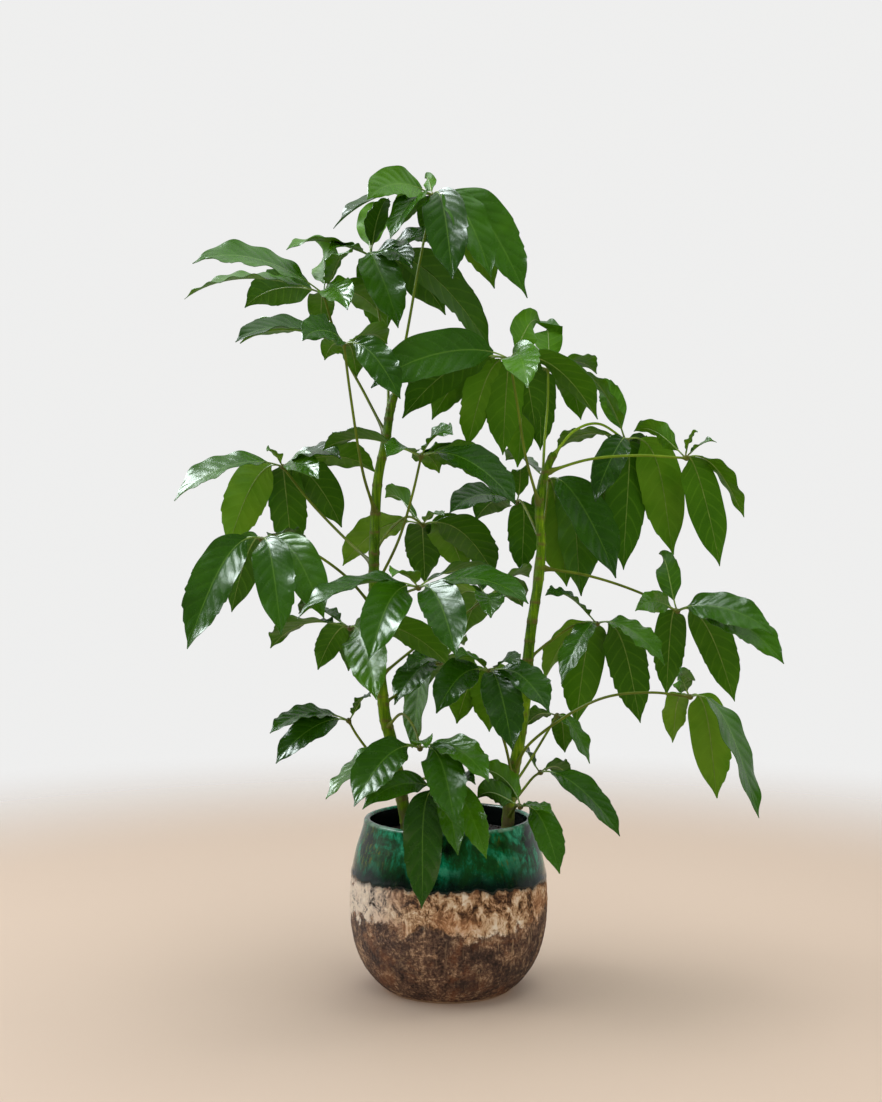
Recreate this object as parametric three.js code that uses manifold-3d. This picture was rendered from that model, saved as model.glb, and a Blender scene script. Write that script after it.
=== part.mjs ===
// A potted umbrella plant: two green trunks with palmate compound leaves, in a bulbous glazed clay pot.
// Millimetres, +Z up, the front towards -Y. The origin is the centre of the pot's flat base.

import * as THREE from 'three';
import { mergeVertices } from 'three/addons/utils/BufferGeometryUtils.js';
import Module from 'manifold-3d';

const wasm = await Module();
wasm.setup();

// Driving dimensions
const POT_HEIGHT = 259;
const POT_BASE_RADIUS = 93;
const POT_FLOOR = 14;
const POT_SIDES = 32;
const SOIL_TOP = 226;
const SOIL_MOUND = 7;
const SEAT_GAP = 0.35;
const TRUNK_SIDES = 9;
const TRUNK_RINGS = 18;
const TRUNK_RING_SWELL = 0.7;
const PETIOLE_SIDES = 5;
const PETIOLE_RINGS = [0, 0.18, 0.38, 0.58, 0.78, 0.955, 1];
const PETIOLE_BASE_RADIUS = 4.2;
const PETIOLE_RADIUS = 2.3;
const PETIOLE_TIP_RADIUS = 1.9;
const HUB_RADIUS = 5.4;
const FRAME_STEPS = 100;

// Leaflets, their widths as shares of their reach
const LEAFLET_WIDTH_RATIO = 0.4;
const LEAFLET_STALK_SHARE = 0.16;
const LEAFLET_STALK_RADIUS = 1.4;
const LEAFLET_THICKNESS = 1.7;
const LEAFLET_RISE = 0.42;
const LEAFLET_DROOP = 0.75;
const LEAFLET_WAVE = 2.4;
const LEAFLET_SPREAD = 0.6;

// Half width of a blade, as a share of its widest, at shares of its length.
const BLADE_OUTLINE = [
  [0, 0.08],
  [0.12, 0.66],
  [0.36, 0.98],
  [0.63, 0.92],
  [0.86, 0.46],
  [1, 0],
];

// The pot's outer and inner profiles from the base up, as [radius, height].
const POT_OUTSIDE = [
  [POT_BASE_RADIUS, 0],
  [98, 3],
  [116, 19],
  [134, 45],
  [146, 80],
  [151, 125],
  [149, 168],
  [141, 210],
  [130, 246],
  [128.5, 254],
];
const POT_LIP = [
  [125, POT_HEIGHT],
  [121, POT_HEIGHT],
  [119, 254],
];
const POT_INSIDE = [
  [124, 238],
  [133, 208],
  [141, 167],
  [143, 125],
  [138, 83],
  [125, 48],
  [96, 18],
];

// Each trunk's centre line from inside the soil to its tip, and its radius at both ends.
const TRUNKS = {
  a: {
    points: [
      [-58, 6, 60],
      [-60, 5, 180],
      [-65, 4, 251],
      [-71, 2, 284],
      [-88, 0, 376],
      [-97, -2, 410],
      [-101, -4, 445],
      [-111, -6, 529],
      [-114, -8, 621],
      [-113, -8, 682],
      [-108, -6, 774],
      [-96, -3, 836],
      [-89, 0, 882],
      [-82, 2, 908],
    ],
    foot: 9.6,
    tip: 6.2,
  },
  b: {
    points: [
      [80, 4, 60],
      [86, 3, 180],
      [92, 2, 262],
      [97, 0, 315],
      [106, -2, 361],
      [113, -4, 407],
      [119, -5, 453],
      [122, -6, 506],
      [127, -6, 552],
      [133, -4, 591],
      [140, -2, 637],
      [142, 0, 682],
      [139, 3, 728],
      [142, 6, 762],
      [152, 10, 793],
      [163, 14, 818],
    ],
    foot: 9.8,
    tip: 5.6,
  },
};

// One row for each compound leaf: the trunk and height it grows from, the points its petiole passes, its hub,
// and its leaflets. A leaflet is [right, up, facing, reach]: its tip's offset from the hub seen from the
// front, how far its blade turns to the front (1 shows the upper side, -1 the lower), and its full reach.
// What the offset leaves of the reach goes forward where the upper side shows, and back where the lower does.
const LEAVES = [
  {
    name: 'leaf_a01', trunk: 'a', height: 888, via: [[-66, -8, 985], [-46, -18, 1095]], hub: [-24, -20, 1206],
    leaflets: [
      [-12, 36, -0.8, 64],
      [-66, -72, 0.12, 130],
      [-93, -30, 0.8, 150],
      [-56, -33, -0.6, 140],
      [-147, -59, 0.15, 170],
      [-8, -55, -0.6, 130],
      [54, -142, 0.85, 176],
      [82, -138, 0.35, 182],
      [97, -129, -0.5, 190],
      [122, -157, 0.6, 215],
      [146, -150, -0.25, 215],
    ],
  },
  {
    name: 'leaf_a02', trunk: 'a', height: 868, via: [[-96, 45, 960], [-112, 88, 1050]], hub: [-123, 100, 1131],
    leaflets: [
      [-124, -2, 0.3, 150],
      [-68, -3, 0.4, 95],
      [11, 89, -0.8, 130],
      [30, 80, 0.2, 110],
      [119, -84, -0.6, 175],
      [190, -144, -0.4, 240],
      [126, 6, 0.4, 150],
      [67, -32, 0.7, 120],
      [14, -122, -0.8, 170],
      [46, -125, 0.8, 172],
    ],
  },
  {
    name: 'leaf_a03', trunk: 'a', height: 842, via: [[-128, 26, 905], [-170, 50, 985]], hub: [-196, 60, 1066],
    leaflets: [
      [-205, 30, 0.35, 210],
      [-219, 2, 0.12, 220],
      [-133, -12, -0.7, 160],
      [-8, 85, -0.6, 120],
      [-11, -49, -0.5, 110],
      [97, -38, -0.6, 165],
      [45, 50, 0.5, 120],
      [45, -38, 0.7, 140],
    ],
  },
  {
    name: 'leaf_a04', trunk: 'a', height: 724, via: [[-128, -62, 784], [-144, -100, 892]], hub: [-154, -110, 972],
    leaflets: [
      [-148, -4, 0.4, 175],
      [-158, 6, -0.12, 165],
      [-51, -4, 0.7, 130],
      [-34, -16, -0.6, 90],
      [14, -40, -0.85, 110],
      [84, -82, 0.85, 128],
      [60, 10, -0.5, 120],
    ],
  },
  {
    name: 'leaf_a05', trunk: 'a', height: 645, via: [[-158, 30, 682], [-218, 62, 742]], hub: [-260, 70, 795],
    leaflets: [
      [-162, -53, 0.2, 180],
      [-96, -130, -0.9, 178],
      [6, -150, -0.95, 178],
      [86, -97, -0.9, 168],
      [-20, 24, 0.3, 60],
      [90, 6, 0.3, 130],
      [70, -14, 0.6, 112],
      [143, -8, -0.4, 170],
    ],
  },
  {
    name: 'leaf_a06', trunk: 'a', height: 606, via: [[-76, -48, 682], [-54, -82, 752]], hub: [-41, -90, 808],
    leaflets: [
      [-164, 3, -0.15, 170],
      [-48, -2, 0.3, 105],
      [46, 30, 0.5, 100],
      [136, -70, 0.25, 175],
      [38, -21, -0.6, 115],
      [65, -22, -0.5, 130],
      [98, -38, -0.5, 150],
    ],
  },
  {
    name: 'leaf_a07', trunk: 'a', height: 664, via: [[-88, 60, 700], [-62, 125, 716]], hub: [-41, 160, 702],
    leaflets: [
      [-135, -70, -0.5, 175],
      [-64, 44, -0.6, 125],
      [2, -102, -0.95, 160],
      [76, -89, -0.8, 165],
      [115, -86, -0.6, 175],
      [34, 16, 0.4, 70],
    ],
  },
  {
    name: 'leaf_a08', trunk: 'a', height: 578, via: [[-160, -50, 634], [-222, -92, 676]], hub: [-274, -110, 686],
    leaflets: [
      [-100, -154, 0.9, 196],
      [-58, -114, -0.9, 168],
      [38, -131, 0.95, 175],
      [96, -110, 0.85, 165],
      [-117, -136, -0.4, 185],
      [50, -30, -0.5, 140],
    ],
  },
  {
    name: 'leaf_a09', trunk: 'a', height: 540, via: [[-94, -70, 578], [-66, -138, 608]], hub: [-44, -180, 619],
    leaflets: [
      [-168, -40, 0.22, 182],
      [-66, -91, 0.85, 155],
      [53, -86, 0.85, 155],
      [153, -17, 0.3, 175],
      [-35, 20, 0.2, 90],
      [117, 12, -0.3, 140],
    ],
  },
  {
    name: 'leaf_a10', trunk: 'a', height: 474, via: [[-48, 68, 514], [20, 114, 556]], hub: [62, 120, 588],
    leaflets: [
      [3, -26, 0.7, 110],
      [69, -21, -0.7, 140],
      [66, 20, -0.5, 130],
      [-51, -24, -0.6, 130],
      [-35, -72, -0.7, 150],
      [-30, 30, -0.4, 100],
    ],
  },
  {
    name: 'leaf_a11', trunk: 'a', height: 505, via: [[-126, -58, 536], [-140, -92, 556]], hub: [-145, -110, 556],
    leaflets: [
      [-84, 14, -0.15, 130],
      [-126, -38, -0.22, 165],
      [-52, -68, -0.8, 110],
      [-7, -72, -0.8, 115],
      [44, -88, 0.95, 170],
      [125, -10, -0.6, 180],
    ],
  },
  {
    name: 'leaf_a12', trunk: 'a', height: 432, via: [[-66, 50, 450], [-34, 92, 474]], hub: [-13, 110, 483],
    leaflets: [
      [-56, -2, 0.5, 110],
      [-69, -54, 0.6, 130],
      [-43, -67, -0.6, 130],
      [-44, -131, 0.1, 142],
      [48, -59, -0.7, 140],
      [40, 21, -0.5, 95],
    ],
  },
  {
    name: 'leaf_a13', trunk: 'a', height: 330, via: [[-112, -14, 352], [-138, -28, 386]], hub: [-151, -30, 409],
    leaflets: [
      [-112, -8, 0.3, 135],
      [-103, -52, 0.5, 139],
      [35, 44, 0.3, 80],
    ],
  },
  {
    name: 'leaf_a14', trunk: 'a', height: 396, via: [[-70, -62, 424], [-50, -122, 410]], hub: [-42, -150, 386],
    leaflets: [
      [-90, -66, 0.6, 150],
      [-133, -66, 0.06, 155],
      [51, -92, 0.9, 150],
      [97, -32, 0.3, 140],
      [10, 12, 0.5, 80],
    ],
  },
  {
    name: 'leaf_a15', trunk: 'a', height: 292, via: [[-50, -60, 322], [-26, -120, 336]], hub: [-13, -150, 326],
    leaflets: [
      [-26, -158, 0.95, 170],
      [25, -79, 0.9, 112],
      [66, -87, 0.7, 124],
      [-108, -12, 0.6, 140],
      [50, 20, 0.4, 90],
    ],
  },
  {
    name: 'leaf_b01', trunk: 'b', height: 736, via: [[116, -42, 810], [102, -66, 890]], hub: [91, -70, 953],
    leaflets: [
      [19, -51, 0.95, 165],
      [-205, -45, 0.75, 216],
      [-158, -84, -0.7, 195],
      [-107, -99, -0.8, 180],
      [-80, -119, -0.6, 165],
      [-7, -140, -0.8, 170],
      [45, -100, -0.7, 160],
      [139, -85, -0.35, 185],
      [51, 66, -0.8, 130],
    ],
  },
  {
    name: 'leaf_b02', trunk: 'b', height: 772, via: [[150, 46, 838], [156, 68, 896]], hub: [157, 72, 948],
    leaflets: [
      [2, 84, -0.6, 120],
      [61, -74, -0.7, 150],
      [85, 0, -0.4, 125],
      [-44, -152, -0.8, 180],
      [-8, -125, -0.6, 150],
      [-84, -36, -0.6, 140],
    ],
  },
  {
    name: 'leaf_b03', trunk: 'b', height: 808, via: [[196, 40, 851], [238, 74, 863]], hub: [280, 90, 838],
    leaflets: [
      [-43, 95, -0.8, 130],
      [42, -14, -0.5, 70],
      [-103, -16, -0.3, 150],
      [-88, 108, 0.25, 150],
      [-35, -146, -0.85, 170],
      [3, -208, -0.9, 214],
      [85, -184, -0.85, 212],
      [-52, -84, 0.45, 140],
    ],
  },
  {
    name: 'leaf_b04', trunk: 'b', height: 786, via: [[216, 8, 806], [293, 10, 812]], hub: [365, 10, 808],
    leaflets: [
      [-70, 44, -0.7, 120],
      [12, 40, 0.5, 60],
      [40, 23, 0.4, 65],
      [102, -92, -0.12, 155],
      [62, -169, -0.9, 190],
    ],
  },
  {
    name: 'leaf_b05', trunk: 'b', height: 640, via: [[218, 26, 626], [296, 44, 600]], hub: [357, 50, 570],
    leaflets: [
      [-75, 6, 0.9, 115],
      [-18, 86, -0.7, 118],
      [128, -28, 0.6, 170],
      [148, -73, 0.7, 190],
      [-6, -142, -0.9, 165],
      [102, -150, -0.8, 195],
    ],
  },
  {
    name: 'leaf_b06', trunk: 'b', height: 500, via: [[160, 48, 524], [204, 86, 546]], hub: [236, 100, 546],
    leaflets: [
      [-86, 50, 0.35, 125],
      [-62, -86, 0.3, 135],
      [-27, -172, -0.95, 192],
      [76, -165, -0.9, 190],
      [97, -57, 0.15, 140],
      [-80, -100, -0.35, 150],
    ],
  },
  {
    name: 'leaf_b07', trunk: 'b', height: 330, via: [[124, -30, 376], [224, -78, 448], [298, -96, 460]],
    hub: [355, -100, 454],
    leaflets: [
      [-30, 34, 0.9, 100],
      [-12, -82, -0.85, 130],
      [50, -160, -0.9, 178],
      [90, -166, 0.15, 200],
    ],
  },
  {
    name: 'leaf_b08', trunk: 'b', height: 300, via: [[122, 34, 332], [152, 72, 372]], hub: [172, 90, 401],
    leaflets: [
      [-46, -24, -0.5, 80],
      [16, -65, -0.8, 82],
      [49, -70, 0.12, 92],
    ],
  },
  {
    name: 'leaf_b09', trunk: 'b', height: 272, via: [[116, 26, 296], [134, 50, 312]], hub: [144, 60, 316],
    leaflets: [
      [52, -24, -0.7, 105],
      [116, -83, 0.3, 165],
      [-30, 30, -0.5, 80],
    ],
  },
  {
    name: 'leaf_b10', trunk: 'b', height: 256, via: [[102, -40, 282], [106, -70, 290]], hub: [106, -84, 289],
    leaflets: [
      [54, -84, 0.8, 121],
      [45, -2, 0.2, 80],
      [-50, 40, -0.7, 115],
      [-62, -4, -0.85, 112],
    ],
  },
  {
    name: 'leaf_b11', trunk: 'b', height: 676, via: [[128, 64, 716], [116, 136, 742]], hub: [112, 165, 739],
    leaflets: [
      [-110, -16, 0.4, 150],
      [-65, -32, -0.7, 130],
      [3, 52, 0.2, 90],
      [10, -122, -0.6, 132],
    ],
  },
  {
    name: 'leaf_b12', trunk: 'b', height: 560, via: [[136, 48, 640], [156, 110, 730]], hub: [162, 150, 775],
    leaflets: [
      [102, -155, 0.5, 200],
      [44, -182, -0.9, 200],
      [50, -188, -0.3, 205],
      [-64, 34, -0.4, 138],
    ],
  },
  {
    name: 'leaf_b13', trunk: 'b', height: 318, via: [[86, -56, 372], [66, -100, 440]], hub: [60, -110, 492],
    leaflets: [
      [-78, -48, 0.7, 135],
      [-41, -92, -0.85, 150],
      [-4, -103, -0.85, 150],
      [29, -100, 0.85, 150],
      [41, 18, 0.4, 90],
      [82, -48, 0.5, 130],
      [-51, 25, 0.4, 90],
    ],
  },
];

// Leaves whose leaflets are slimmer than the rest, as shares of the usual width.
const SLIM_LEAVES = {
  leaf_a01: 0.86,
  leaf_a02: 0.9,
  leaf_a05: 0.93,
  leaf_a08: 0.84,
  leaf_a11: 0.92,
  leaf_a13: 0.85,
  leaf_a15: 0.82,
  leaf_b01: 0.86,
  leaf_b02: 0.88,
  leaf_b03: 0.82,
  leaf_b04: 0.74,
  leaf_b05: 0.82,
  leaf_b06: 0.86,
  leaf_b07: 0.8,
  leaf_b09: 0.8,
  leaf_b10: 0.85,
};

// Leaflets that would touch a neighbour swing clear of it, in small steps, mostly forward or back.
const CLEARING = { passes: 90, gain: 0.35, most: 6, blade: 0.62, sameLeaf: 0.8, margin: 6, side: 0.4 };
const CLEARING_SHARES = [0.32, 0.48, 0.64, 0.8, 0.96];

const MATERIALS = {
  glaze: new THREE.MeshStandardMaterial({ color: 0x1d4a3a, roughness: 0.25, metalness: 0 }),
  soil: new THREE.MeshStandardMaterial({ color: 0x2b211b, roughness: 0.95, metalness: 0 }),
  stem: new THREE.MeshStandardMaterial({ color: 0x5c7f2c, roughness: 0.5, metalness: 0 }),
  leaf: new THREE.MeshStandardMaterial({ color: 0x23511f, roughness: 0.35, metalness: 0 }),
};

const UP = new THREE.Vector3(0, 0, 1);
const FRONT = new THREE.Vector3(0, -1, 0);

// A seeded draw between -1 and 1, the same on every run.
let seed = 20417;
function draw() {
  seed = (seed * 1664525 + 1013904223) % 4294967296;
  return (seed / 4294967296) * 2 - 1;
}

function vector(point) {
  return new THREE.Vector3(point[0], point[1], point[2]);
}

function mix(from, to, share) {
  return from + (to - from) * share;
}

// A closed triangle mesh becomes a solid that can be joined and cut.
function toSolid(geometry) {
  geometry.deleteAttribute('normal');
  geometry.deleteAttribute('uv');
  const merged = mergeVertices(geometry, 1e-4);
  const mesh = new wasm.Mesh({
    numProp: 3,
    vertProperties: new Float32Array(merged.attributes.position.array),
    triVerts: new Uint32Array(merged.index.array),
  });
  return new wasm.Manifold(mesh);
}

// The largest body of a solid: loose scraps are dropped and sealed hollows are filled.
function largestBody(solid) {
  const bodies = solid.decompose();
  bodies.sort((first, second) => second.volume() - first.volume());
  return bodies[0];
}

function toGeometry(solid) {
  const mesh = solid.getMesh();
  const geometry = new THREE.BufferGeometry();
  geometry.setAttribute('position', new THREE.BufferAttribute(mesh.vertProperties, 3));
  geometry.setIndex(new THREE.BufferAttribute(mesh.triVerts, 1));
  geometry.computeVertexNormals();
  return geometry;
}

function namedMesh(name, solid, material) {
  const mesh = new THREE.Mesh(toGeometry(solid), material);
  mesh.name = name;
  return mesh;
}

// A closed profile of [radius, height] points is turned about the Z axis.
function turned(profile, sides) {
  const points = profile.map(([radius, height]) => new THREE.Vector2(radius, height));
  const geometry = new THREE.LatheGeometry(points, sides);
  geometry.rotateX(Math.PI / 2);
  return toSolid(geometry);
}

// A stem is turned straight, with a radius for each ring's share of its length, and bent along its curve.
function bentStem(curve, sides, shares, radiusAt) {
  const profile = shares.map((share, ring) => new THREE.Vector2(radiusAt(share), ring));
  const last = shares.length - 1;
  const geometry = new THREE.LatheGeometry([new THREE.Vector2(0, 0), ...profile, new THREE.Vector2(0, last)], sides);
  const frames = curve.computeFrenetFrames(FRAME_STEPS, false);
  const position = geometry.attributes.position;
  for (let index = 0; index < position.count; index += 1) {
    const share = shares[Math.round(position.getY(index))];
    const step = Math.round(share * FRAME_STEPS);
    const place = curve.getPointAt(share);
    place.addScaledVector(frames.normals[step], position.getX(index));
    place.addScaledVector(frames.binormals[step], -position.getZ(index));
    position.setXYZ(index, place.x, place.y, place.z);
  }
  return toSolid(geometry);
}

// Pot and soil
function makePot() {
  const profile = [[0, 0], ...POT_OUTSIDE, ...POT_LIP, ...POT_INSIDE, [0, POT_FLOOR]];
  return turned(profile, POT_SIDES);
}

function makeSoil(trunkHoles) {
  const wall = POT_INSIDE.filter(([, height]) => height < SOIL_TOP).reverse();
  const profile = [
    [0, POT_FLOOR + SEAT_GAP],
    ...wall.map(([radius, height]) => [radius - SEAT_GAP, height + SEAT_GAP]),
    [124, SOIL_TOP],
    [70, SOIL_TOP + SOIL_MOUND],
    [0, SOIL_TOP + SOIL_MOUND],
  ];
  return largestBody(turned(profile, POT_SIDES).subtract(trunkHoles));
}

// Trunks
function trunkCurve(trunk) {
  return new THREE.CatmullRomCurve3(trunk.points.map(vector), false, 'centripetal');
}

function makeTrunk(trunk, extra) {
  const shares = Array.from({ length: TRUNK_RINGS + 1 }, (_, ring) => ring / TRUNK_RINGS);
  const radiusAt = (share) => {
    const swell = Math.round(share * TRUNK_RINGS) % 2 === 1 ? TRUNK_RING_SWELL : 0;
    return mix(trunk.foot, trunk.tip, share ** 1.5) + swell + extra;
  };
  return bentStem(trunkCurve(trunk), TRUNK_SIDES, shares, radiusAt);
}

// The point of a trunk's centre line at a height.
function trunkPoint(trunk, height) {
  const curve = trunkCurve(trunk);
  let low = 0;
  let high = 1;
  for (let round = 0; round < 30; round += 1) {
    const middle = (low + high) / 2;
    if (curve.getPointAt(middle).z < height) {
      low = middle;
    } else {
      high = middle;
    }
  }
  return curve.getPointAt(low);
}

// Petioles
function petioleCurve(leaf) {
  const start = trunkPoint(TRUNKS[leaf.trunk], leaf.height);
  const points = [start, ...leaf.via.map(vector), vector(leaf.hub)];
  const arrive = vector(leaf.hub).sub(points[points.length - 2]).setLength(HUB_RADIUS);
  points[points.length - 1].add(arrive);
  return new THREE.CatmullRomCurve3(points, false, 'centripetal');
}

function petioleRadius(share) {
  if (share > 0.95) {
    return HUB_RADIUS;
  }
  const clasp = Math.max(0, 1 - share * 7);
  return mix(PETIOLE_RADIUS, PETIOLE_TIP_RADIUS, share) + (PETIOLE_BASE_RADIUS - PETIOLE_RADIUS) * clasp;
}

// Leaflets
function growLeaflet(leaf, [right, up, facing, reach]) {
  const hub = vector(leaf.hub);
  const slim = SLIM_LEAVES[leaf.name] ?? 1;
  const seen = Math.hypot(right, up);
  const depth = Math.sqrt(Math.max(0, reach * reach - seen * seen));
  const tip = hub.clone().add(new THREE.Vector3(right, -Math.sign(facing) * depth, up));
  return {
    leaf,
    hub,
    tip,
    facing,
    length: hub.distanceTo(tip),
    halfWidth: reach * LEAFLET_WIDTH_RATIO * 0.5 * slim * (1 + 0.08 * draw()),
    roll: 0.2 * draw(),
    fold: 0.2 + 0.08 * draw(),
    wave: draw() < 0 ? -1 : 1,
  };
}

// The stalks of one leaf leave its hub in an even ring, each as near as it can be to its own blade.
function spreadStalks(ring) {
  const turn = 2 * Math.PI / ring.length;
  ring.forEach((leaflet) => {
    leaflet.azimuth = Math.atan2(leaflet.tip.y - leaflet.hub.y, leaflet.tip.x - leaflet.hub.x);
  });
  const order = [...ring].sort((first, second) => first.azimuth - second.azimuth);
  const sine = order.reduce((sum, leaflet, rank) => sum + Math.sin(leaflet.azimuth - rank * turn), 0);
  const cosine = order.reduce((sum, leaflet, rank) => sum + Math.cos(leaflet.azimuth - rank * turn), 0);
  const phase = Math.atan2(sine, cosine);
  order.forEach((leaflet, rank) => {
    const away = phase + rank * turn - leaflet.azimuth;
    leaflet.start = leaflet.azimuth + LEAFLET_SPREAD * Math.atan2(Math.sin(away), Math.cos(away));
  });
}

// A leaflet leaves its hub outwards and rising, and droops towards its tip.
function centreLine(leaflet) {
  const chord = leaflet.tip.clone().sub(leaflet.hub);
  const outward = new THREE.Vector3(chord.x, chord.y, 0);
  const flat = Math.max(outward.length(), 1e-6);
  outward.divideScalar(flat);
  const rise = LEAFLET_RISE + Math.max(0, Math.atan2(chord.z, flat)) * 0.9;
  const stalk = new THREE.Vector3(Math.cos(leaflet.start), Math.sin(leaflet.start), 0);
  const first = leaflet.hub.clone();
  first.addScaledVector(stalk, Math.cos(rise) * leaflet.length * 0.32);
  first.addScaledVector(UP, Math.sin(rise) * leaflet.length * 0.32);
  const arrive = chord.clone().divideScalar(leaflet.length);
  arrive.addScaledVector(UP, -LEAFLET_DROOP).normalize();
  const second = leaflet.tip.clone().addScaledVector(arrive, -0.35 * leaflet.length);
  return { outward, curve: new THREE.CubicBezierCurve3(leaflet.hub, first, second, leaflet.tip) };
}

function bladeHalfWidth(share) {
  let index = 1;
  while (BLADE_OUTLINE[index][0] < share) {
    index += 1;
  }
  const [low, narrow] = BLADE_OUTLINE[index - 1];
  const [high, wide] = BLADE_OUTLINE[index];
  return mix(narrow, wide, (share - low) / (high - low));
}

// The upper side's direction: up and outward as the leaflet droops, turned to the front by its facing.
function upperSide(leaflet, outward, along) {
  const across = UP.clone().cross(outward);
  const natural = along.clone().cross(across);
  const front = FRONT.clone().multiplyScalar(Math.sign(leaflet.facing));
  front.addScaledVector(along, -front.dot(along));
  const turn = Math.abs(leaflet.facing);
  const side = natural.multiplyScalar(1 - turn).addScaledVector(front, turn);
  return side.addScaledVector(along, -side.dot(along)).normalize().applyAxisAngle(along, leaflet.roll);
}

// The leaflet is one closed loft: a thin stalk, then a blade folded up along its midrib, with waved edges.
// Each section has a left edge, an upper midrib, a right edge and a lower midrib.
function makeLeaflet(leaflet) {
  const { outward, curve } = centreLine(leaflet);
  const points = [];
  const stations = [[0, LEAFLET_STALK_RADIUS, 0, 0]];
  BLADE_OUTLINE.slice(0, -1).forEach(([share, width], index) => {
    const halfWidth = Math.max(width * leaflet.halfWidth, LEAFLET_STALK_RADIUS);
    const lift = leaflet.fold * halfWidth;
    const wave = index > 0 ? LEAFLET_WAVE * leaflet.wave * (index % 2 === 0 ? 1 : -1) : 0;
    stations.push([mix(LEAFLET_STALK_SHARE, 1, share), halfWidth, lift, wave]);
  });
  stations.forEach(([share, halfWidth, lift, wave], index) => {
    const centre = curve.getPoint(share);
    const along = curve.getTangent(share);
    const normal = upperSide(leaflet, outward, along);
    const across = along.clone().cross(normal);
    const half = index < 2 ? LEAFLET_STALK_RADIUS : LEAFLET_THICKNESS / 2;
    const edge = (side) => centre.clone()
      .addScaledVector(across, side * halfWidth)
      .addScaledVector(normal, lift + side * wave);
    points.push(edge(-1), centre.clone().addScaledVector(normal, half));
    points.push(edge(1), centre.clone().addScaledVector(normal, -half));
  });
  points.push(leaflet.tip.clone());
  const triangles = [[0, 3, 2], [0, 2, 1]];
  const last = stations.length - 1;
  for (let ring = 0; ring < last; ring += 1) {
    for (let side = 0; side < 4; side += 1) {
      const a = ring * 4 + side;
      const b = ring * 4 + ((side + 1) % 4);
      if (side % 2 === 0) {
        triangles.push([a, b, b + 4], [a, b + 4, a + 4]);
      } else {
        triangles.push([a, b, a + 4], [b, b + 4, a + 4]);
      }
    }
  }
  for (let side = 0; side < 4; side += 1) {
    triangles.push([last * 4 + side, last * 4 + ((side + 1) % 4), points.length - 1]);
  }
  const geometry = new THREE.BufferGeometry().setFromPoints(points);
  geometry.setIndex(triangles.flat());
  return toSolid(geometry);
}

// Points along petioles and trunks that leaflets keep away from.
function stemPoints() {
  const points = [];
  Object.values(TRUNKS).forEach((trunk) => {
    trunkCurve(trunk).getSpacedPoints(40).forEach((place) => {
      points.push({ leaf: null, place, radius: trunk.foot });
    });
  });
  LEAVES.forEach((leaf) => {
    petioleCurve(leaf).getSpacedPoints(12).forEach((place) => {
      points.push({ leaf, place, radius: PETIOLE_RADIUS });
    });
  });
  return points;
}

// The pot's outer radius at a height, for leaflets that hang beside it.
function potReach(height) {
  return height > POT_HEIGHT ? 0 : 151 - Math.max(0, height - 190) * 0.3;
}

function push(total, from, to, need, weight) {
  const away = from.clone().sub(to);
  const distance = Math.max(away.length(), 1e-3);
  if (distance < need) {
    total.addScaledVector(away, ((need - distance) / distance) * CLEARING.gain * weight);
  }
}

function swingClear(leaflets) {
  const stems = stemPoints();
  for (let pass = 0; pass < CLEARING.passes; pass += 1) {
    const rows = leaflets.map((leaflet) => {
      const { curve } = centreLine(leaflet);
      return CLEARING_SHARES.map((share) => {
        const along = Math.max(0, (share - LEAFLET_STALK_SHARE) / (1 - LEAFLET_STALK_SHARE));
        const radius = Math.max(8, bladeHalfWidth(along) * leaflet.halfWidth);
        return { share, place: curve.getPoint(share), radius };
      });
    });
    leaflets.forEach((leaflet, own) => {
      const total = new THREE.Vector3();
      rows[own].forEach((sample) => {
        rows.forEach((row, other) => {
          if (other === own || leaflets[other].hub.distanceTo(leaflet.hub) > 440) {
            return;
          }
          const same = leaflets[other].leaf === leaflet.leaf ? CLEARING.sameLeaf : 1;
          row.forEach((near) => {
            const need = (sample.radius + near.radius) * CLEARING.blade * same;
            push(total, sample.place, near.place, need, sample.share);
          });
        });
        stems.forEach((stem) => {
          if (stem.leaf !== leaflet.leaf) {
            const need = sample.radius * 0.8 + stem.radius + CLEARING.margin;
            push(total, sample.place, stem.place, need, sample.share * 2);
          }
        });
        const reach = potReach(sample.place.z) + 12;
        const flat = Math.hypot(sample.place.x, sample.place.y);
        if (reach > 12 && flat < reach) {
          const outward = new THREE.Vector3(sample.place.x, sample.place.y, 0).divideScalar(flat);
          total.addScaledVector(outward, (reach - flat) * sample.share);
        }
      });
      total.x *= CLEARING.side;
      total.z *= CLEARING.side;
      total.clampLength(0, CLEARING.most);
      leaflet.next = leaflet.tip.clone().add(total);
    });
    leaflets.forEach((leaflet) => {
      const chord = leaflet.next.sub(leaflet.hub);
      leaflet.tip = leaflet.hub.clone().addScaledVector(chord, leaflet.length / chord.length());
    });
  }
}

// One compound leaf: petiole, hub and leaflets grown together, its foot cut to seat on the trunk.
function makeLeaf(leaf, leaflets, seats) {
  let solid = bentStem(petioleCurve(leaf), PETIOLE_SIDES, PETIOLE_RINGS, petioleRadius);
  solid = solid.subtract(seats[leaf.trunk]);
  leaflets.filter((leaflet) => leaflet.leaf === leaf).forEach((leaflet) => {
    solid = solid.add(makeLeaflet(leaflet));
  });
  return largestBody(solid);
}

const plant = new THREE.Group();
plant.name = 'potted_umbrella_plant';

const seats = { a: makeTrunk(TRUNKS.a, SEAT_GAP), b: makeTrunk(TRUNKS.b, SEAT_GAP) };
plant.add(namedMesh('pot', makePot(), MATERIALS.glaze));
plant.add(namedMesh('soil', makeSoil(seats.a.add(seats.b)), MATERIALS.soil));
plant.add(namedMesh('trunk_a', makeTrunk(TRUNKS.a, 0), MATERIALS.stem));
plant.add(namedMesh('trunk_b', makeTrunk(TRUNKS.b, 0), MATERIALS.stem));

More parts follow.
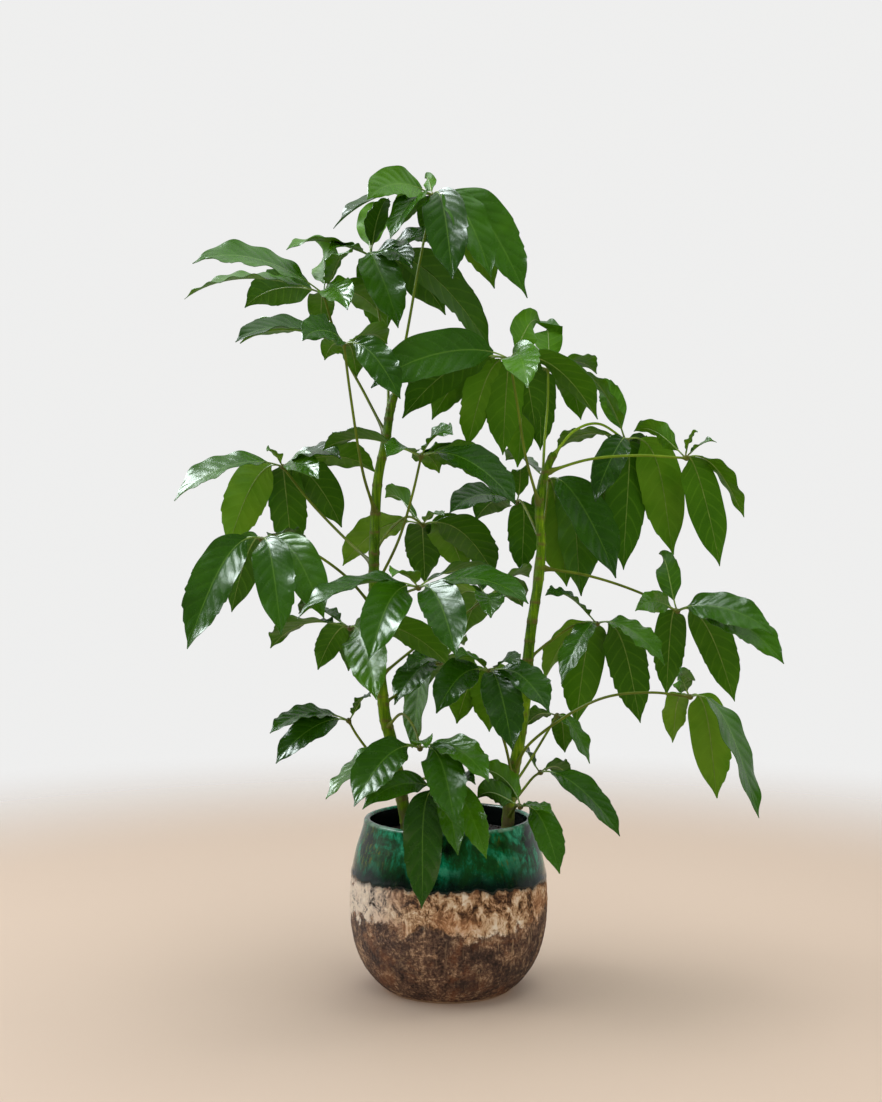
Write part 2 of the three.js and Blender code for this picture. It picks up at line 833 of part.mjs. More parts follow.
const leaflets = LEAVES.flatMap((leaf) => {
  const ring = leaf.leaflets.map((row) => growLeaflet(leaf, row));
  spreadStalks(ring);
  return ring;
});
swingClear(leaflets);
LEAVES.forEach((leaf) => {
  plant.add(namedMesh(leaf.name, makeLeaf(leaf, leaflets, seats), MATERIALS.leaf));
});

export default plant;
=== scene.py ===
# A potted umbrella plant: two green trunks with palmate compound leaves, in a bulbous glazed clay pot.
# The tables are in millimetres and the pieces in metres, +Z up, the front towards -Y.
import math
import random

import bmesh
import bpy
import numpy as np
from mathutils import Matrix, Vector, noise


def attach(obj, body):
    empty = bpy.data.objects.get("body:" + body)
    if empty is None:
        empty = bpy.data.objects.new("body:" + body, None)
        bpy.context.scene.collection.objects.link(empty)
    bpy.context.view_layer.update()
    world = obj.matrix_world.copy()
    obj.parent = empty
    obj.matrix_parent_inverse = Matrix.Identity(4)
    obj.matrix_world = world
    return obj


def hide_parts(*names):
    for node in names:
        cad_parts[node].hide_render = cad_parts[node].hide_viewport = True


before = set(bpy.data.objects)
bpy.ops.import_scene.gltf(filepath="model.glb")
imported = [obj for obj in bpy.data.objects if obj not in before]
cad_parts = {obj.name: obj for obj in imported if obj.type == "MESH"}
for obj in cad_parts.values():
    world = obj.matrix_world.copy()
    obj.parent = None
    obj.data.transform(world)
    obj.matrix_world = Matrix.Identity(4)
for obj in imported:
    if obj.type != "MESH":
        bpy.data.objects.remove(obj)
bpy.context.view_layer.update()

MM = 0.001
UP = np.array([0.0, 0.0, 1.0])
FRONT = np.array([0.0, -1.0, 0.0])

# Sizes shared with the solids
POT_HEIGHT = 259
SOIL_TOP = 226
SOIL_MOUND = 7
PETIOLE_RADIUS = 2.3
PETIOLE_TIP_RADIUS = 1.9
PETIOLE_FLARE = 1.9
HUB_RADIUS = 5.4
LEAFLET_WIDTH_RATIO = 0.4
STALK_SHARE = 0.16
LEAFLET_RISE = 0.42
LEAFLET_DROOP = 0.75
LEAFLET_WAVE = 2.4
LEAFLET_SPREAD = 0.6
SEAT_GAP = 0.35

# How a leaflet grows: how unevenly wide, rolled and folded the draws make it, how much more steeply a
# leaflet that points up leaves its hub, and the shares of its length over which it leaves and arrives.
GROWTH_SEED = 20417
WIDTH_DRAW = 0.08
ROLL_DRAW = 0.2
FOLD = 0.2
FOLD_DRAW = 0.08
UPWARD_RISE = 0.9
LEAVE_SHARE = 0.32
ARRIVE_SHARE = 0.35

# The pot's profile in parts, as (radius, height): under the foot, outside, lip, inside and floor.
POT_FOOT = [(0, 3), (30, 3), (60, 3), (78, 2.6), (82, 1.5), (86, 0.2)]
POT_OUTSIDE = [
    (93, 0), (98, 3), (116, 19), (134, 45), (146, 80), (151, 125), (149, 168), (141, 210), (130, 246),
    (128.5, 254),
]
POT_LIP = [
    (128, 256.3), (126.4, 258.3), (124.4, POT_HEIGHT), (122, POT_HEIGHT), (120.1, 257.6), (119.4, 255),
    (120, 250), (121.6, 245),
]
POT_INSIDE = [(124, 238), (133, 208), (141, 167), (143, 125), (138, 83), (125, 48), (96, 18)]
POT_FLOOR = [(70, 14.5), (36, 14), (0, 14)]
SOIL_BOTTOM = [(0, 14.4), (60, 14.9)]

# Each trunk's centre line from inside the soil to its tip, and its radius at both ends.
TRUNKS = {
    "a": {
        "points": [
            (-58, 6, 60), (-60, 5, 180), (-65, 4, 251), (-71, 2, 284), (-88, 0, 376), (-97, -2, 410),
            (-101, -4, 445), (-111, -6, 529), (-114, -8, 621), (-113, -8, 682), (-108, -6, 774),
            (-96, -3, 836), (-89, 0, 882), (-82, 2, 908),
        ],
        "foot": 9.6,
        "tip": 6.2,
    },
    "b": {
        "points": [
            (80, 4, 60), (86, 3, 180), (92, 2, 262), (97, 0, 315), (106, -2, 361), (113, -4, 407),
            (119, -5, 453), (122, -6, 506), (127, -6, 552), (133, -4, 591), (140, -2, 637), (142, 0, 682),
            (139, 3, 728), (142, 6, 762), (152, 10, 793), (163, 14, 818),
        ],
        "foot": 9.8,
        "tip": 5.6,
    },
}

# Compound leaves: the trunk and height each grows from, the points its petiole passes, its hub and its
# leaflets. A leaflet is (right, up, facing, reach): its tip's offset from the hub seen from the front, how
# far its blade turns to the front (1 shows the upper side, -1 the lower), and its full reach.
LEAVES = {
    "leaf_a01": ("a", 888, [(-66, -8, 985), (-46, -18, 1095)], (-24, -20, 1206), [
        (-12, 36, -0.8, 64), (-66, -72, 0.12, 130), (-93, -30, 0.8, 150), (-56, -33, -0.6, 140),
        (-147, -59, 0.15, 170), (-8, -55, -0.6, 130), (54, -142, 0.85, 176), (82, -138, 0.35, 182),
        (97, -129, -0.5, 190), (122, -157, 0.6, 215), (146, -150, -0.25, 215),
    ]),
    "leaf_a02": ("a", 868, [(-96, 45, 960), (-112, 88, 1050)], (-123, 100, 1131), [
        (-124, -2, 0.3, 150), (-68, -3, 0.4, 95), (11, 89, -0.8, 130), (30, 80, 0.2, 110),
        (119, -84, -0.6, 175), (190, -144, -0.4, 240), (126, 6, 0.4, 150), (67, -32, 0.7, 120),
        (14, -122, -0.8, 170), (46, -125, 0.8, 172),
    ]),
    "leaf_a03": ("a", 842, [(-128, 26, 905), (-170, 50, 985)], (-196, 60, 1066), [
        (-205, 30, 0.35, 210), (-219, 2, 0.12, 220), (-133, -12, -0.7, 160), (-8, 85, -0.6, 120),
        (-11, -49, -0.5, 110), (97, -38, -0.6, 165), (45, 50, 0.5, 120), (45, -38, 0.7, 140),
    ]),
    "leaf_a04": ("a", 724, [(-128, -62, 784), (-144, -100, 892)], (-154, -110, 972), [
        (-148, -4, 0.4, 175), (-158, 6, -0.12, 165), (-51, -4, 0.7, 130), (-34, -16, -0.6, 90),
        (14, -40, -0.85, 110), (84, -82, 0.85, 128), (60, 10, -0.5, 120),
    ]),
    "leaf_a05": ("a", 645, [(-158, 30, 682), (-218, 62, 742)], (-260, 70, 795), [
        (-162, -53, 0.2, 180), (-96, -130, -0.9, 178), (6, -150, -0.95, 178), (86, -97, -0.9, 168),
        (-20, 24, 0.3, 60), (90, 6, 0.3, 130), (70, -14, 0.6, 112), (143, -8, -0.4, 170),
    ]),
    "leaf_a06": ("a", 606, [(-76, -48, 682), (-54, -82, 752)], (-41, -90, 808), [
        (-164, 3, -0.15, 170), (-48, -2, 0.3, 105), (46, 30, 0.5, 100), (136, -70, 0.25, 175),
        (38, -21, -0.6, 115), (65, -22, -0.5, 130), (98, -38, -0.5, 150),
    ]),
    "leaf_a07": ("a", 664, [(-88, 60, 700), (-62, 125, 716)], (-41, 160, 702), [
        (-135, -70, -0.5, 175), (-64, 44, -0.6, 125), (2, -102, -0.95, 160), (76, -89, -0.8, 165),
        (115, -86, -0.6, 175), (34, 16, 0.4, 70),
    ]),
    "leaf_a08": ("a", 578, [(-160, -50, 634), (-222, -92, 676)], (-274, -110, 686), [
        (-100, -154, 0.9, 196), (-58, -114, -0.9, 168), (38, -131, 0.95, 175), (96, -110, 0.85, 165),
        (-117, -136, -0.4, 185), (50, -30, -0.5, 140),
    ]),
    "leaf_a09": ("a", 540, [(-94, -70, 578), (-66, -138, 608)], (-44, -180, 619), [
        (-168, -40, 0.22, 182), (-66, -91, 0.85, 155), (53, -86, 0.85, 155), (153, -17, 0.3, 175),
        (-35, 20, 0.2, 90), (117, 12, -0.3, 140),
    ]),
    "leaf_a10": ("a", 474, [(-48, 68, 514), (20, 114, 556)], (62, 120, 588), [
        (3, -26, 0.7, 110), (69, -21, -0.7, 140), (66, 20, -0.5, 130), (-51, -24, -0.6, 130),
        (-35, -72, -0.7, 150), (-30, 30, -0.4, 100),
    ]),
    "leaf_a11": ("a", 505, [(-126, -58, 536), (-140, -92, 556)], (-145, -110, 556), [
        (-84, 14, -0.15, 130), (-126, -38, -0.22, 165), (-52, -68, -0.8, 110), (-7, -72, -0.8, 115),
        (44, -88, 0.95, 170), (125, -10, -0.6, 180),
    ]),
    "leaf_a12": ("a", 432, [(-66, 50, 450), (-34, 92, 474)], (-13, 110, 483), [
        (-56, -2, 0.5, 110), (-69, -54, 0.6, 130), (-43, -67, -0.6, 130), (-44, -131, 0.1, 142),
        (48, -59, -0.7, 140), (40, 21, -0.5, 95),
    ]),
    "leaf_a13": ("a", 330, [(-112, -14, 352), (-138, -28, 386)], (-151, -30, 409), [
        (-112, -8, 0.3, 135), (-103, -52, 0.5, 139), (35, 44, 0.3, 80),
    ]),
    "leaf_a14": ("a", 396, [(-70, -62, 424), (-50, -122, 410)], (-42, -150, 386), [
        (-90, -66, 0.6, 150), (-133, -66, 0.06, 155), (51, -92, 0.9, 150), (97, -32, 0.3, 140),
        (10, 12, 0.5, 80),
    ]),
    "leaf_a15": ("a", 292, [(-50, -60, 322), (-26, -120, 336)], (-13, -150, 326), [
        (-26, -158, 0.95, 170), (25, -79, 0.9, 112), (66, -87, 0.7, 124), (-108, -12, 0.6, 140),
        (50, 20, 0.4, 90),
    ]),
    "leaf_b01": ("b", 736, [(116, -42, 810), (102, -66, 890)], (91, -70, 953), [
        (19, -51, 0.95, 165), (-205, -45, 0.75, 216), (-158, -84, -0.7, 195), (-107, -99, -0.8, 180),
        (-80, -119, -0.6, 165), (-7, -140, -0.8, 170), (45, -100, -0.7, 160), (139, -85, -0.35, 185),
        (51, 66, -0.8, 130),
    ]),
    "leaf_b02": ("b", 772, [(150, 46, 838), (156, 68, 896)], (157, 72, 948), [
        (2, 84, -0.6, 120), (61, -74, -0.7, 150), (85, 0, -0.4, 125), (-44, -152, -0.8, 180),
        (-8, -125, -0.6, 150), (-84, -36, -0.6, 140),
    ]),
    "leaf_b03": ("b", 808, [(196, 40, 851), (238, 74, 863)], (280, 90, 838), [
        (-43, 95, -0.8, 130), (42, -14, -0.5, 70), (-103, -16, -0.3, 150), (-88, 108, 0.25, 150),
        (-35, -146, -0.85, 170), (3, -208, -0.9, 214), (85, -184, -0.85, 212), (-52, -84, 0.45, 140),
    ]),
    "leaf_b04": ("b", 786, [(216, 8, 806), (293, 10, 812)], (365, 10, 808), [
        (-70, 44, -0.7, 120), (12, 40, 0.5, 60), (40, 23, 0.4, 65), (102, -92, -0.12, 155),
        (62, -169, -0.9, 190),
    ]),
    "leaf_b05": ("b", 640, [(218, 26, 626), (296, 44, 600)], (357, 50, 570), [
        (-75, 6, 0.9, 115), (-18, 86, -0.7, 118), (128, -28, 0.6, 170), (148, -73, 0.7, 190),
        (-6, -142, -0.9, 165), (102, -150, -0.8, 195),
    ]),
    "leaf_b06": ("b", 500, [(160, 48, 524), (204, 86, 546)], (236, 100, 546), [
        (-86, 50, 0.35, 125), (-62, -86, 0.3, 135), (-27, -172, -0.95, 192), (76, -165, -0.9, 190),
        (97, -57, 0.15, 140), (-80, -100, -0.35, 150),
    ]),
    "leaf_b07": ("b", 330, [(124, -30, 376), (224, -78, 448), (298, -96, 460)], (355, -100, 454), [
        (-30, 34, 0.9, 100), (-12, -82, -0.85, 130), (50, -160, -0.9, 178), (90, -166, 0.15, 200),
    ]),
    "leaf_b08": ("b", 300, [(122, 34, 332), (152, 72, 372)], (172, 90, 401), [
        (-46, -24, -0.5, 80), (16, -65, -0.8, 82), (49, -70, 0.12, 92),
    ]),
    "leaf_b09": ("b", 272, [(116, 26, 296), (134, 50, 312)], (144, 60, 316), [
        (52, -24, -0.7, 105), (116, -83, 0.3, 165), (-30, 30, -0.5, 80),
    ]),
    "leaf_b10": ("b", 256, [(102, -40, 282), (106, -70, 290)], (106, -84, 289), [
        (54, -84, 0.8, 121), (45, -2, 0.2, 80), (-50, 40, -0.7, 115), (-62, -4, -0.85, 112),
    ]),
    "leaf_b11": ("b", 676, [(128, 64, 716), (116, 136, 742)], (112, 165, 739), [
        (-110, -16, 0.4, 150), (-65, -32, -0.7, 130), (3, 52, 0.2, 90), (10, -122, -0.6, 132),
    ]),
    "leaf_b12": ("b", 560, [(136, 48, 640), (156, 110, 730)], (162, 150, 775), [
        (102, -155, 0.5, 200), (44, -182, -0.9, 200), (50, -188, -0.3, 205), (-64, 34, -0.4, 138),
    ]),
    "leaf_b13": ("b", 318, [(86, -56, 372), (66, -100, 440)], (60, -110, 492), [
        (-78, -48, 0.7, 135), (-41, -92, -0.85, 150), (-4, -103, -0.85, 150), (29, -100, 0.85, 150),
        (41, 18, 0.4, 90), (82, -48, 0.5, 130), (-51, 25, 0.4, 90),
    ]),
}

# Leaves whose leaflets are slimmer than the rest, as shares of the usual width.
SLIM_LEAVES = {
    "leaf_a01": 0.86, "leaf_a02": 0.9, "leaf_a05": 0.93, "leaf_a08": 0.84, "leaf_a11": 0.92,
    "leaf_a13": 0.85, "leaf_a15": 0.82, "leaf_b01": 0.86, "leaf_b02": 0.88, "leaf_b03": 0.82,
    "leaf_b04": 0.74, "leaf_b05": 0.82, "leaf_b06": 0.86, "leaf_b07": 0.8, "leaf_b09": 0.8,
    "leaf_b10": 0.85,
}

# Half width of a blade, as a share of its widest, at shares of its length: the solids' few stations, and
# the full outline with its drawn-out tip.
SOLID_SHARES = [0, 0.12, 0.36, 0.63, 0.86, 1]
SOLID_WIDTHS = [0.08, 0.66, 0.98, 0.92, 0.46, 0]
BLADE_SHARES = [0, 0.05, 0.1, 0.16, 0.24, 0.33, 0.43, 0.53, 0.63, 0.72, 0.8, 0.87, 0.925, 0.965, 1]
BLADE_WIDTHS = [0.05, 0.26, 0.5, 0.71, 0.88, 0.97, 1, 0.985, 0.925, 0.81, 0.62, 0.37, 0.16, 0.07, 0.01]
WAVE_TURNS = [0, -1, 1, -1, 1, 0]
SOFTENING = [0.1, 0.2, 0.4, 0.2, 0.1]

# Radius of a leaflet's stalk and midrib, at shares of the leaflet's length, and how deep it is sunk.
STALK_PLACES = [0, 0.02, 0.05, 0.13, 0.17, 0.26, 0.6, 0.97]
STALK_RADII = [0.6, 2.1, 1.35, 1.25, 1.5, 1.05, 0.7, 0.25]
SINK_PLACES = [0, STALK_SHARE - 0.02, STALK_SHARE + 0.08, 1]
SINKS = [0, 0, 0.5, 0.35]

# Radius of the knob at a petiole's end, at distances back from that end.
KNOB_PLACES = [0, 0.4, 1.2, 2.5, 4, 5.5, 7, 9, 12, 14]
KNOB_RADII = [0, 1.8, 3, 4, 4.5, 4.4, 3.7, 2.6, 1.3, 0]

# Side veins of a blade: pairs, how far they run forward towards the edge, and the relief between them.
VEIN_PAIRS = 9
VEIN_SWEEP = 0.17
VEIN_CURVE = 1.3
VEIN_RELIEF = 0.6
BLADE_THICKNESS = 0.8

# How deep a blade edge's teeth are, as shares of its half width: most edges have few or none.
TOOTH_DEPTHS = (0, 0.05, 0.09, 0.13)

# How leaflets swing clear of their neighbours, as in the solids.
CLEAR_PASSES = 90
CLEAR_GAIN = 0.35
CLEAR_MOST = 6
CLEAR_BLADE = 0.62
CLEAR_SAME_LEAF = 0.8
CLEAR_MARGIN = 6
CLEAR_SIDE = 0.4
CLEAR_NEAR = 440
CLEAR_LEAST = 8
CLEAR_STEM = 0.8
CLEAR_SHARES = np.array([0.32, 0.48, 0.64, 0.8, 0.96])
TRUNK_STATIONS = 41
PETIOLE_STATIONS = 13

# The room a leaflet leaves round the pot: the belly's radius, the height from which it narrows and how
# fast, and the gap.
POT_BELLY = 151
POT_SHOULDER = 190
POT_NARROWING = 0.3
CLEAR_POT = 12

# Leaves whose stalks are still young and yellow-green, from 0 to 1.
YOUNG = {"leaf_b03": 1.0, "leaf_b02": 0.6, "leaf_b04": 0.5, "leaf_a01": 0.3, "leaf_a02": 0.3}


def draws(seed):
    """Seeded numbers between -1 and 1."""
    while True:
        seed = (seed * 1664525 + 1013904223) % 4294967296
        yield seed / 4294967296 * 2 - 1


def length_of(vectors):
    return np.linalg.norm(vectors, axis=-1, keepdims=True)


def unit(vectors):
    return vectors / np.maximum(length_of(vectors), 1e-9)


# Curves
def curve_through(points, per_span=40):
    """Places close together on the smooth curve through a few points."""
    points = np.array(points, float)
    run = [2 * points[0] - points[1], *points, 2 * points[-1] - points[-2]]
    parts = []
    for before, start, end, after in zip(run, run[1:], run[2:], run[3:]):
        first = math.sqrt(np.linalg.norm(start - before))
        middle = math.sqrt(np.linalg.norm(end - start))
        last = math.sqrt(np.linalg.norm(after - end))
        leave = (start - before) / first - (end - before) / (first + middle) + (end - start) / middle
        arrive = (end - start) / middle - (after - start) / (middle + last) + (after - end) / last
        leave = leave * middle
        arrive = arrive * middle
        t = np.linspace(0, 1, per_span, endpoint=False)[:, None]
        square = 3 * (end - start) - 2 * leave - arrive
        cube = 2 * (start - end) + leave + arrive
        parts.append(start + leave * t + square * t**2 + cube * t**3)
    parts.append(points[-1:])
    return np.concatenate(parts)


def lengths_along(path):
    steps = np.linalg.norm(np.diff(path, axis=0), axis=1)
    return np.concatenate([[0], np.cumsum(steps)])


def at_shares(path, shares):
    """The places at shares of a path's length."""
    lengths = lengths_along(path)
    wanted = np.asarray(shares) * lengths[-1]
    return np.stack([np.interp(wanted, lengths, path[:, axis]) for axis in range(3)], axis=-1)


def at_height(path, height):
    return np.array([np.interp(height, path[:, 2], path[:, axis]) for axis in range(3)])


def frames_along(places):
    """Two crossways directions at each place of a path, carried along it without twisting."""
    ahead = unit(np.gradient(places, axis=0))
    side = np.cross(ahead[0], UP)
    if np.linalg.norm(side) < 0.1:
        side = np.cross(ahead[0], FRONT)
    sides = []
    for direction in ahead:
        side = side - direction * np.dot(side, direction)
        side = side / np.linalg.norm(side)
        sides.append(side)
    sides = np.array(sides)
    return sides, np.cross(ahead, sides)


# Where the stems and leaflets stand, by the same rule as the solids
trunk_paths = {name: curve_through(trunk["points"]) for name, trunk in TRUNKS.items()}


def petiole_path(leaf):
    trunk, height, via, hub = leaf[:4]
    points = [at_height(trunk_paths[trunk], height), *[np.array(point, float) for point in via]]
    arrive = unit(np.array(hub, float) - points[-1]) * HUB_RADIUS
    return curve_through([*points, np.array(hub, float) + arrive])


petiole_paths = {name: petiole_path(leaf) for name, leaf in LEAVES.items()}


def spread_stalks(leaflets):
    """The stalks of one leaf leave its hub in an even ring, each as near as it can be to its own blade."""
    turn = 2 * math.pi / len(leaflets)
    order = sorted(leaflets, key=lambda leaflet: leaflet["azimuth"])
    sine = sum(math.sin(leaflet["azimuth"] - rank * turn) for rank, leaflet in enumerate(order))
    cosine = sum(math.cos(leaflet["azimuth"] - rank * turn) for rank, leaflet in enumerate(order))
    phase = math.atan2(sine, cosine)
    for rank, leaflet in enumerate(order):
        away = phase + rank * turn - leaflet["azimuth"]
        away = math.atan2(math.sin(away), math.cos(away))
        leaflet["start"] = leaflet["azimuth"] + LEAFLET_SPREAD * away


def grow_leaflets():
    """Every leaflet as it grows from its hub, before it swings clear of its neighbours."""
    draw = draws(GROWTH_SEED)
    grown = []
    for name, (_, _, _, hub, rows) in LEAVES.items():
        ring = []
        slim = SLIM_LEAVES.get(name, 1)
        for right, up, facing, reach in rows:
            half_width = reach * LEAFLET_WIDTH_RATIO * 0.5 * slim
            depth = math.sqrt(max(0, reach**2 - right**2 - up**2))
            offset = np.array([right, -math.copysign(depth, facing), up])
            ring.append({
                "leaf": name,
                "hub": np.array(hub, float),
                "tip": np.array(hub, float) + offset,
                "facing": facing,
                "half_width": half_width * (1 + WIDTH_DRAW * next(draw)),
                "roll": ROLL_DRAW * next(draw),
                "fold": FOLD + FOLD_DRAW * next(draw),
                "wave": -1 if next(draw) < 0 else 1,
                "azimuth": math.atan2(offset[1], offset[0]),
            })
        spread_stalks(ring)
        grown.extend(ring)
    return grown


def centre_lines(hub, tip, start):
    """The four points that steer each leaflet's centre line: outwards and rising, then drooping."""
    chord = tip - hub
    length = length_of(chord)
    flat = np.maximum(length_of(chord[:, :2]), 1e-6)
    rise = LEAFLET_RISE + np.maximum(0, np.arctan2(chord[:, 2:], flat)) * UPWARD_RISE
    stalk = np.stack([np.cos(start), np.sin(start), np.zeros(len(start))], axis=-1)
    first = hub + stalk * np.cos(rise) * length * LEAVE_SHARE + UP * np.sin(rise) * length * LEAVE_SHARE
    arrive = unit(chord / length - UP * LEAFLET_DROOP)
    second = tip - ARRIVE_SHARE * length * arrive
    return np.stack([hub, first, second, tip], axis=1)


def on_lines(steer, shares):
    """Places at shares of steered lines, one row of steering points for each, and the directions there."""
    t = shares[None, :, None]
    start, first, second, tip = (steer[:, None, place] for place in range(4))
    places = start * (1 - t)**3 + first * 3 * t * (1 - t)**2 + second * 3 * t**2 * (1 - t) + tip * t**3
    turn = (first - start) * (1 - t)**2 + (second - first) * 2 * t * (1 - t) + (tip - second) * t**2
    return places, unit(turn)


def pushes(places, others, need, weight):
    """How far near neighbours push each place away, in all."""
    away = places[:, None] - others[None]
    distance = np.maximum(np.linalg.norm(away, axis=-1), 1e-3)
    amount = np.where(distance < need, (need - distance) / distance * CLEAR_GAIN * weight[:, None], 0)
    return (away * amount[..., None]).sum(axis=1)


def pot_pushes(places, weight):
    """How far the pot pushes each place outwards."""
    narrowing = np.maximum(0, places[:, 2] - POT_SHOULDER) * POT_NARROWING
    reach = np.where(places[:, 2] > POT_HEIGHT, 0, POT_BELLY - narrowing) + CLEAR_POT
    flat = np.hypot(places[:, 0], places[:, 1])
    inside = np.where((reach > CLEAR_POT) & (flat < reach), (reach - flat) * weight / flat, 0)
    return places[:, :2] * inside[:, None]


def stem_stations():
    """Places along the trunks and petioles, and the radius and the leaf of the stem at each."""
    stems = [(path, TRUNKS[name]["foot"], "", TRUNK_STATIONS) for name, path in trunk_paths.items()]
    stems += [(path, PETIOLE_RADIUS, name, PETIOLE_STATIONS) for name, path in petiole_paths.items()]
    places = np.concatenate([at_shares(path, np.linspace(0, 1, count)) for path, _, _, count in stems])
    radii = np.concatenate([[radius] * count for _, radius, _, count in stems])
    leaves = np.concatenate([[name] * count for _, _, name, count in stems])
    return places, radii, leaves


def swing_clear(grown):
    """Leaflets that would touch a neighbour swing clear of it, in small steps, mostly forward or back."""
    keys = ("hub", "tip", "start", "half_width", "leaf")
    hub, tip, start, half, names = (np.array([leaflet[key] for leaflet in grown]) for key in keys)
    length = length_of(tip - hub)
    count = len(CLEAR_SHARES)
    blade = np.maximum(0, (CLEAR_SHARES - STALK_SHARE) / (1 - STALK_SHARE))
    width = np.interp(blade, SOLID_SHARES, SOLID_WIDTHS)
    radius = np.maximum(CLEAR_LEAST, width[None] * half[:, None]).ravel()
    weight = np.tile(CLEAR_SHARES, len(grown))
    near = np.linalg.norm(hub[:, None] - hub[None], axis=-1) <= CLEAR_NEAR
    near &= ~np.eye(len(grown), dtype=bool)
    same_leaf = names[:, None] == names[None]
    room = np.where(near, CLEAR_BLADE * np.where(same_leaf, CLEAR_SAME_LEAF, 1), 0)
    room = room.repeat(count, axis=0).repeat(count, axis=1)
    blade_need = (radius[:, None] + radius[None]) * room
    stem_place, stem_radius, stem_leaf = stem_stations()
    other_leaf = names.repeat(count)[:, None] != stem_leaf[None]
    stem_need = radius[:, None] * CLEAR_STEM + stem_radius[None] + CLEAR_MARGIN
    stem_need = np.where(other_leaf, stem_need, 0)
    for _ in range(CLEAR_PASSES):
        places = on_lines(centre_lines(hub, tip, start), CLEAR_SHARES)[0].reshape(-1, 3)
        total = pushes(places, places, blade_need, weight)
        total = total + pushes(places, stem_place, stem_need, weight * 2)
        total[:, :2] += pot_pushes(places, weight)
        step = total.reshape(len(grown), count, 3).sum(axis=1) * np.array([CLEAR_SIDE, 1, CLEAR_SIDE])
        step *= np.minimum(1, CLEAR_MOST / np.maximum(length_of(step), 1e-9))
        chord = tip + step - hub
        tip = hub + chord * length / length_of(chord)
    for leaflet, line in zip(grown, centre_lines(hub, tip, start)):
        leaflet["steer"] = line
    return grown


def leaflet_line(leaflet, shares):
    """Places at shares of a leaflet's length, its direction there, and which way its upper side looks."""
    steer = leaflet["steer"]
    places, ahead = (found[0] for found in on_lines(steer[None], shares))
    outward = (steer[3] - steer[0]) * np.array([1, 1, 0])
    across = np.cross(UP, unit(outward))
    natural = np.cross(ahead, across)
    front = FRONT * math.copysign(1, leaflet["facing"])
    front = front - ahead * (ahead @ front)[:, None]
    turn = abs(leaflet["facing"])
    side = natural * (1 - turn) + front * turn
    side = unit(side - ahead * (side * ahead).sum(axis=1, keepdims=True))
    roll = leaflet["roll"]
    return places, ahead, side * math.cos(roll) + np.cross(ahead, side) * math.sin(roll)


# Meshes
def smooth_steps(shares, at, values):
    """Values at a few stations, joined by easing from each to the next."""
    at = np.asarray(at, float)
    values = np.asarray(values, float)
    index = np.clip(np.searchsorted(at, shares, side="right") - 1, 0, len(at) - 2)
    t = (shares - at[index]) / (at[index + 1] - at[index])
    t = t * t * (3 - 2 * t)
    return values[index] * (1 - t) + values[index + 1] * t


def layers_of(mesh, *names):
    """New numbers that each point of a mesh carries, for its material."""
    return {name: mesh.verts.layers.float.new(name) for name in names}


def sheet_of(mesh, columns, rows):
    """A new flat sheet in a mesh, as its points row by row."""
    made = bmesh.ops.create_grid(mesh, x_segments=columns, y_segments=rows, size=1, calc_uvs=True)
    return made["verts"]


def roll_stem(mesh, places, radii, sides, material=0):
    """A sheet rolled into a stem along a path, with its two ends drawn together."""
    points = sheet_of(mesh, sides, len(places) - 1)
    across, over = frames_along(places)
    turn = np.linspace(0, 2 * math.pi, sides + 1)
    radii = np.asarray(radii, float)
    if radii.ndim == 1:
        radii = radii[:, None]
    ring = np.cos(turn)[None, :, None] * across[:, None] + np.sin(turn)[None, :, None] * over[:, None]
    shape = (places[:, None] + ring * radii[..., None]).reshape(-1, 3) * MM
    for point, place in zip(points, shape):
        point.co = place
    faces = {face for point in points for face in point.link_faces}
    for face in faces:
        face.material_index = material
    bmesh.ops.remove_doubles(mesh, verts=points, dist=1e-6)
    kept = [face for face in faces if face.is_valid]
    bmesh.ops.recalc_face_normals(mesh, faces=kept)
    return [point for point in points if point.is_valid]


def in_scene(name, data):
    """Anything becomes an object of the scene, at the origin."""
    made = bpy.data.objects.new(name, data)
    bpy.context.scene.collection.objects.link(made)
    return made


def finished(name, mesh, materials):
    """A finished mesh as an object."""
    data = bpy.data.meshes.new(name)
    mesh.to_mesh(data)
    mesh.free()
    for material in materials:
        data.materials.append(material)
    return in_scene(name, data)


def stand_for(node, mesh, materials, crease=50):
    """A finished mesh becomes the piece that stands for its node."""
    piece = finished(node + "_piece", mesh, materials)
    piece.data.shade_smooth()
    piece.data.set_sharp_from_angle(angle=math.radians(crease))
    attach(piece, "root")
    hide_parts(node)


# Materials
def light_of(part):
    """One part of a colour as light, from its 0 to 255 steps on a screen."""
    if part > 10:
        return ((part / 255 + 0.055) / 1.055)**2.4
    return part / 3300


def colour(red, green, blue):
    return (light_of(red), light_of(green), light_of(blue), 1)


